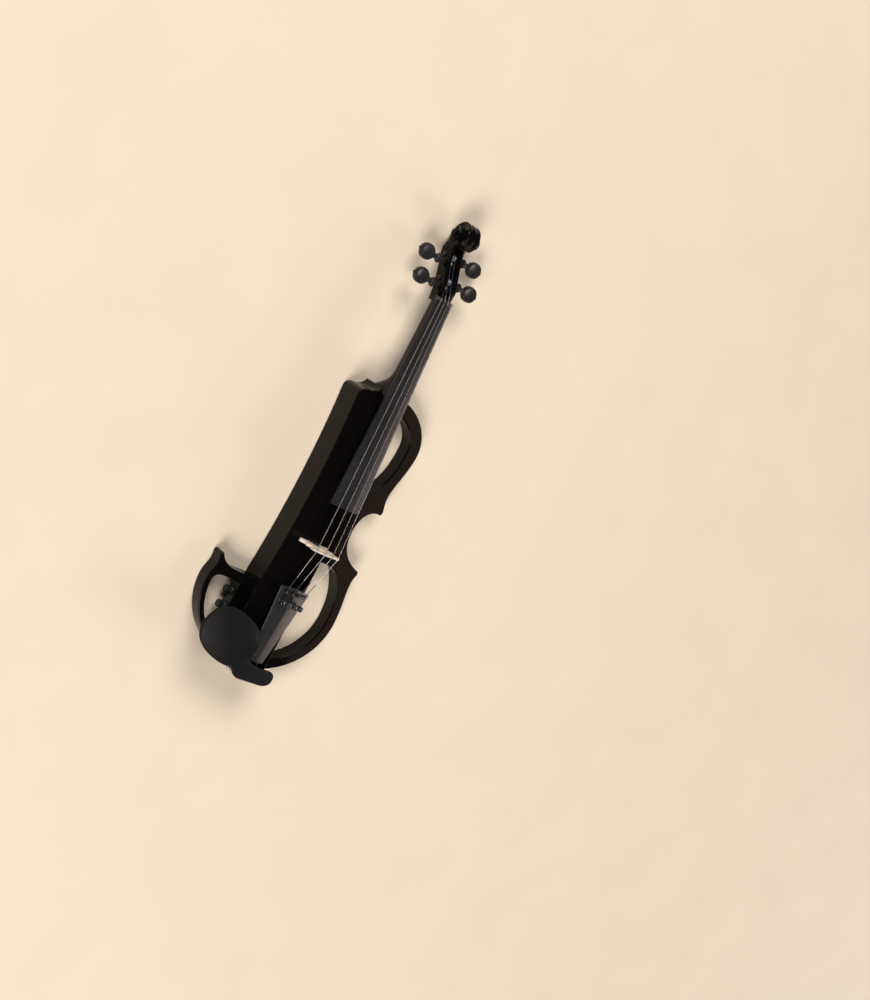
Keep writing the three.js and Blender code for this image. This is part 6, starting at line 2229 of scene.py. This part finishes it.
class Controls:
    """The control panel, the knobs, the jacks and what lies behind them."""

    POTS = ("volume", "tone")
    JACKS = {"output_jack": 5.5, "headphone_jack": 3.6}
    SCREWS = tuple(f"cover_screw_{i}" for i in range(1, 5))
    WALL = 24.0
    KNOB = ((4.2, 0.0), (5.7, 0.0), (5.95, 0.25), (5.95, 0.9), (5.7, 1.25), (5.35, 1.6), (5.28, 2.2),
            (5.15, 5.0),
            (5.02, 8.2), (4.8, 9.1), (4.4, 9.65), (3.9, 9.85), (3.3, 9.8), (2.6, 9.6), (1.4, 9.52))
    SOLDERED = ((-5.5, -9, 5, 6.5, 1.6), (5.0, -7, 4, 4, 1.1), (-4.5, 4, 7, 5, 1.4), (5.5, 8, 3.2, 6.2, 1.8),
                (-5, 13, 4, 2.2, 0.9), (4.6, -0.6, 2, 1.2, 0.7), (1.5, -14, 2, 1.2, 0.7),
                (-1, 11, 1.2, 2, 0.7))

    def panel(self) -> Shape:
        """Returns the panel with its bores, its slot and generic scale ticks."""
        low, high = corners("control_panel")
        flat = [vec(low.y, low.z), vec(high.y, low.z), vec(high.y, high.z), vec(low.y, high.z)]
        line = []
        for i, p in enumerate(flat):
            before, after = (flat[i - 1] - p).normalized(), (flat[(i + 1) % 4] - p).normalized()
            line += [p + before * 2.2, *bend(p + before * 2.2, p + before, p + after, p + after * 2.2, 8)]
        plate = rounded_slab(line, low.x, high.x, 0.45, 3).placed(STOOD_ON_EDGE)
        tools = []
        for spot in (middle(f"{name}_knob") for name in self.POTS):
            tools.append(crosswise(spot, low.x - 4, high.x + 4, 3.3, 28))
            face = vec(low.x - 0.1, spot.y, spot.z)
            for i in range(11):
                angle = math.radians(-150 + 30 * i)
                way = vec(0, math.sin(angle), math.cos(angle))
                tools.append(rod(face + way * 6.7, face + way * (7.9 if i % 5 else 8.3), 0.32, 8))
        slot_low, slot_high = corners("switch_body")
        tools.append(block((low.x - 4, slot_low.y, slot_low.z), (high.x + 4, slot_high.y, slot_high.z)))
        return cut(plate, *tools)

    def knob(self, name: str) -> Shape:
        """Returns a fluted knob with a pointer groove and its shaft.

        Args:
            name: volume or tone.

        Returns:
            The knob.
        """
        low, high = corners(f"{name}_knob")
        spot, base = middle(f"{name}_knob"), low.x + 10
        cap = lathe(self.KNOB, vec(base, spot.y, spot.z), -ACROSS, 120, 20, 0.5, (6, 7, 8))
        groove = rounded_box((low.x - 3, spot.y - 0.35, spot.z + 1.6),
                             (low.x + 0.75, spot.y + 0.35, spot.z + 8), 0.1)
        side = block((low.x - 3, spot.y - 0.3, spot.z + 4.3), (base - 1.7, spot.y + 0.3, spot.z + 8))
        return cut(cap, groove, side) + rod((base - 1, spot.y, spot.z), (high.x, spot.y, spot.z), 1.8, 24,
                                            0.3)

    def pot(self, name: str) -> Shape:
        """Returns a potentiometer: a can and a threaded bush, for the volume or the tone.

        Args:
            name: volume or tone.

        Returns:
            The potentiometer.
        """
        low, high = corners(f"{name}_pot")
        spot, length = middle(f"{name}_knob"), high.x - low.x
        can = lathe([(6.0, 0), (6.4, 0.3), (6.45, 1.0), (6.45, 5.4), (6.1, 6.0)], vec(high.x, spot.y, spot.z),
                    -ACROSS, 40)
        rows = [(2.9, 0.2), *thread(3.0, 0.18, 0.5, 0.6, length - 6.4), (2.7, length - 6.0)]
        bush = lathe(rows, vec(high.x - 6.0, spot.y, spot.z), -ACROSS, 28)
        return cut(unite(can, bush), crosswise(spot, high.x - 3, low.x - 4, 2.1))

    def jack(self, name: str, bore: float) -> Shape:
        """Returns a jack: a sleeve, a washer, a hexagonal nut and a turned rim.

        Args:
            name: its node.
            bore: the radius of its bore.

        Returns:
            The jack.
        """
        (low, high), spot, radius = corners(name), middle(name), self.JACKS[name]
        wide, length = (high.z - low.z) / 2, self.WALL - low.x
        at = vec(self.WALL, spot.y, spot.z)
        rows = [(radius - 0.3, -length), (radius, -length + 0.4), *thread(radius, 0.22, 0.7, -8.0, -0.4),
                (radius - 0.1, 0.0), (radius * 1.05, 0.9)]
        rings = ((48, (0.9, SEAM), (0.99, SEAM), (0.99, 0.62), (0.93, 0.72)),
                 (6, (0.84, 0.7), (0.95, 0.85), (0.95, 1.35), (0.84, 1.6)),
                 (40, (0.72, 1.4), (0.7, 1.75), (0.66, 1.8)))
        turned = [lathe([(wide * share, along) for share, along in ring], at, ACROSS, sides)
                  for sides, *ring in rings]
        hole = crosswise(spot, low.x - 3, self.WALL + 4, bore, 32)
        return cut(unite(lathe(rows, at, ACROSS, 40), *turned), hole)

    def circuit(self) -> Shape:
        """Returns the circuit board with its posts and soldered parts."""
        low, high = corners("circuit_board")
        mid = (low + high) / 2
        whole = rounded_box(low, (high.x, high.y, low.z + 1.6), 0.12, 2)
        post = [(2.0, low.z + 0.8), (2.0, high.z - 0.3), (1.7, high.z)]
        for place in (-17.6, 17.6):
            whole += lathe(post, vec(mid.x, mid.y + place), UP, 6)
        for x, y, wide, deep, tall in self.SOLDERED:
            spot = vec(mid.x + x, mid.y + y, low.z + 1.55)
            half = vec(wide / 2, deep / 2)
            whole += rounded_box(spot - half, spot + half + UP * tall, 0.15, 2)
        return whole

    def cover(self) -> Shape:
        """Returns the back cover with countersunk holes and a finger notch."""
        low, high = corners("back_cover")
        plate = rounded_slab(round_corners(low, high, 2), low.z, high.z, 0.35, 3)
        tools = []
        for spot in map(middle, self.SCREWS):
            tools += [upright(spot, -4, 8, 1.4, 20), upright(spot, -4, 1.6, 2.7, 28)]
        notch = [(2.0, -0.5), (4.2, -0.5), (3.6, 0.25), (1.2, 0.9)]
        tools.append(lathe(notch, vec((low.x + high.x) / 2, high.y - 6), UP, 32))
        return cut(plate, *tools)

    def cover_screw(self, name: str) -> Shape:
        """Returns a slotted cover screw.

        Args:
            name: its node.

        Returns:
            The screw.
        """
        spot, (low, high) = middle(name), corners(name)
        rows = [(1.5, low.z + 0.02), (2.1, low.z), (2.4, low.z + 0.25), (2.4, low.z + 0.6), (1.1, 1.3),
                *thread(1.1, 0.3, 0.6, 1.6, high.z - 1.2), (0.9, high.z - 0.9), (0.25, high.z)]
        slot = block((spot.x - 5, spot.y - 0.3, -3), (spot.x + 5, spot.y + 0.3, low.z + 0.45))
        return cut(lathe(rows, vec(spot.x, spot.y), UP, 32), slot)

    def drawer(self) -> Shape:
        """Returns the battery drawer: a tray, a ribbed face and a pull."""
        low, high = corners("battery_drawer")
        mid = (low.y + high.y) / 2
        face = rounded_box((self.WALL + 0.3, low.y, low.z), (self.WALL + 2.3, high.y, high.z), 0.7, 4)
        tray_low, tray_high = vec(low.x, low.y + 2.6, low.z + 2.6), vec(25.0, high.y - 2.6, high.z - 2.6)
        tray = cut(rounded_box(tray_low, tray_high, 0.3, 2),
                   rounded_box(tray_low + vec(1.6, 1.6, 1.6), tray_high + vec(-2.6, -1.6, 4), 0.3, 2))
        pull = rounded_box((25.3, mid - 7.8, high.z - 7.8), (28.3, mid + 7.8, high.z - 5.2), 0.8, 4)
        scoop = lathe([(2.0, -9), (3.0, -8), (3.0, 8), (2.0, 9)], vec(28.2, mid, high.z - 10.6), ALONG, 32)
        ribs = [upright(vec(26.45, mid + place), low.z + 3, high.z - 10.4, 0.42, 12)
                for place in range(-6, 7, 2)]
        return cut(unite(face, tray, pull), scoop, *ribs)

    def battery(self) -> Shape:
        """Returns the battery with its rounded can and its two snaps."""
        low, high = corners("battery")
        flat = round_corners((low.x, low.z), (high.x, high.z), 1.9)
        stood = Matrix(((1, 0, 0, 0), (0, 0, -1, 0), (0, 1, 0, 0), (0, 0, 0, 1)))
        whole = rounded_slab(flat, -high.y + 2.6, -low.y, 0.5, 3).placed(stood)
        mid = (low + high) / 2
        snap = [(2.9, 0), (2.9, 1.5), (2.5, 2.4), (1.9, 2.6)]
        for x, sides in ((-6.4, 28), (6.4, 6)):
            whole += lathe(snap, vec(mid.x + x, high.y - 2.62, mid.z), ALONG, sides)
        return whole

    def switch(self) -> tuple[Shape, Shape]:
        """Returns the switch's open frame and its ribbed nub."""
        low, high = corners("switch_body")
        mouth = block((low.x - 2, low.y + 0.7, low.z + 0.7), (low.x + 1.4, high.y - 0.7, high.z - 0.7))
        housing = cut(rounded_box(low, high, 0.3, 2), mouth)
        low, high = corners("power_switch")
        grooves = [upright(vec(low.x, low.y + place), low.z - 2, high.z + 2, 0.28, 12)
                   for place in (1.2, 2.0, 2.7, 3.4, 4.2)]
        return housing, cut(rounded_box(low, high, 0.4, 3), *grooves)

    def build(self) -> None:
        """Adds the controls, the jacks, the board, the cover and the battery in its drawer."""
        add_piece("panel", self.panel(), TRIM_PLASTIC, ["control_panel"], 36)
        for name in self.POTS:
            add_piece(f"knob_{name}", self.knob(name), KNOB_PLASTIC, [f"{name}_knob"], 36, name)
            add_piece(f"pot_{name}", self.pot(name), NICKEL, [f"{name}_pot"], 36)
        housing, nub = self.switch()
        add_piece("switch_frame", housing, NICKEL, ["switch_body"])
        add_piece("switch_nub", nub, KNOB_PLASTIC, ["power_switch"], 36, "switch")
        add_piece("jack_output", self.jack("output_jack", 3.3), NICKEL, ["output_jack"], 32)
        add_piece("jack_phones", self.jack("headphone_jack", 1.8), NICKEL, ["headphone_jack"], 32)
        add_piece("board_soldered", self.circuit(), CIRCUIT, ["circuit_board"])
        add_piece("cover_plate", self.cover(), TRIM_PLASTIC, ["back_cover"], 36)
        for i, name in enumerate(self.SCREWS, 1):
            add_piece(f"slotted_screw_{i}", self.cover_screw(name), STEEL, [name], 36)
        add_piece("drawer_tray", self.drawer(), TRIM_PLASTIC, ["battery_drawer"], 36, "drawer")
        add_piece("battery_can", self.battery(), BATTERY_FOIL, ["battery"], 36, "drawer")


# Studio

@dataclass(frozen=True)
class Softbox:
    """A soft area light."""

    name: str
    at: Sequence[float]
    towards: Sequence[float]
    size: tuple[float, float]
    power: float
    colour: Colour = (1.0, 1.0, 1.0)
    shines_only: bool = False


@dataclass(frozen=True)
class Floor(Finish):
    """Plain pale paint on a studio floor."""

    def detail(self, tree: Tree) -> None:
        """Adds faint roller marks and a soft unevenness.

        Args:
            tree: the material's nodes.
        """
        roller = tree.noise(9, 4)
        tree.put("Base Color", tree.mix(tree.spread(roller, 0.3, 0.7), self.colour, self.tint(0.97)))
        tree.put("Roughness", self.sheen(tree, roller, 0.3, 0.7, 0.95, 1.0))
        tree.bump((tree.noise(420, 2), 0.06, 0.1))


class Studio:
    """The floor, the lights, the world and the camera."""

    FLOOR = Floor("studio_floor", "", (0.87, 0.72, 0.56), 0.9)
    EYE = (-1.022197, 0.239020, 1.527835)
    RIGHT = (0.71638952, 0.46950963, 0.51608795)
    DOWN = (0.33503134, -0.88033036, 0.3358161)
    FORWARD = (0.61199678, -0.06766949, -0.78795988)
    LENS = 54.08
    LIGHTS = (
        Softbox("head_end", (-1.3, 3.0, 2.7), (0.1, 0.2, 0.0), (2.4, 2.0), 128.0, (1.0, 0.985, 0.96)),
        Softbox("tail_end", (-1.3, -2.7, 2.7), (0.1, -0.1, 0.0), (2.4, 2.0), 128.0, (1.0, 0.985, 0.96)),
        Softbox("far_side", (3.4, -0.2, 1.7), (0.0, 0.1, 0.0), (1.6, 1.2), 40.0, (0.96, 0.98, 1.0)),
        Softbox("warm_card", (0.31, 0.06, 0.175), (0.0, 0.04, 0.1), (0.7, 0.34), 0.95, (1.0, 0.66, 0.46),
                True),
    )

    def floor(self) -> bpy.types.Object:
        """Returns the floor, which rises softly far behind the violin."""
        low, bend_radius, edge, thick = CAD_BOX[0][2] / MM - SEAM, 1100, 3600, 60
        rise = [(edge + bend_radius * math.sin(a), low + bend_radius * (1 - math.cos(a)))
                for a in (0, 0.2, 0.4, 0.6, 0.8, 1, 1.2)]
        under = [(r + thick, z - thick) for r, z in rise]
        rows = [(10, low - thick), *under, *reversed(rise), (1500, low), (10, low)]
        mesh = raw_mesh("floor", lathe(rows, vec(0, 0), UP, 96), MM)
        mesh.shade_smooth()
        mesh.set_sharp_from_angle(angle=math.radians(40))
        mesh.materials.append(self.FLOOR.material())
        return self.place("floor", mesh)

    def place(self, name: str, data: bpy.types.ID) -> bpy.types.Object:
        """Adds an object that holds the data, and returns it.

        Args:
            name: the object's name.
            data: what it holds.

        Returns:
            The object.
        """
        holder = bpy.data.objects.new(name, data)
        bpy.context.scene.collection.objects.link(holder)
        return holder

    def light(self, box: Softbox) -> bpy.types.Object:
        """Adds one soft light.

        Args:
            box: the light.

        Returns:
            The lamp.
        """
        lamp = bpy.data.lights.new(box.name, "AREA")
        lamp.shape = "RECTANGLE"
        lamp.size, lamp.size_y = box.size
        lamp.energy = box.power
        lamp.color = box.colour
        holder = self.place(box.name, lamp)
        holder.location = box.at
        way = Vector(box.towards) - Vector(box.at)
        holder.rotation_euler = way.to_track_quat("-Z", "Y").to_euler()
        holder.visible_camera = False
        holder.visible_diffuse = not box.shines_only
        return holder

    def camera(self) -> None:
        """Places the camera at the photograph's angle."""
        view = bpy.data.cameras.new("view")
        view.lens, view.sensor_width = self.LENS, 36.0
        view.clip_start, view.clip_end = 0.01, 50.0
        holder = self.place("view", view)
        right, down, forward = (Vector(v) for v in (self.RIGHT, self.DOWN, self.FORWARD))
        turn = Matrix((right, -down, -forward)).transposed()
        holder.matrix_world = Matrix.Translation(self.EYE) @ turn.to_4x4()
        bpy.context.scene.camera = holder

    def build(self) -> None:
        """Adds the whole studio."""
        self.floor()
        [self.light(box) for box in self.LIGHTS]
        world = bpy.data.worlds.new("studio")
        world.use_nodes = True
        glow = world.node_tree.nodes["Background"]
        glow.inputs["Color"].default_value = (0.92, 0.95, 1.0, 1.0)
        glow.inputs["Strength"].default_value = 0.04
        bpy.context.scene.world = world
        bpy.context.scene.view_settings.view_transform = "Standard"
        self.camera()


def main() -> None:
    """Builds the violin and its studio."""
    logging.basicConfig(level=logging.INFO, format="%(name)s %(message)s")
    builders = (Body(BodySize()), Head(HeadSize()), Board(), Bridge(), Strings(), Pegs(), Tail(),
                ChinRest(ChinSize()), Controls(), Studio())
    for builder in builders:
        builder.build()


if __name__ == "__main__":
    main()
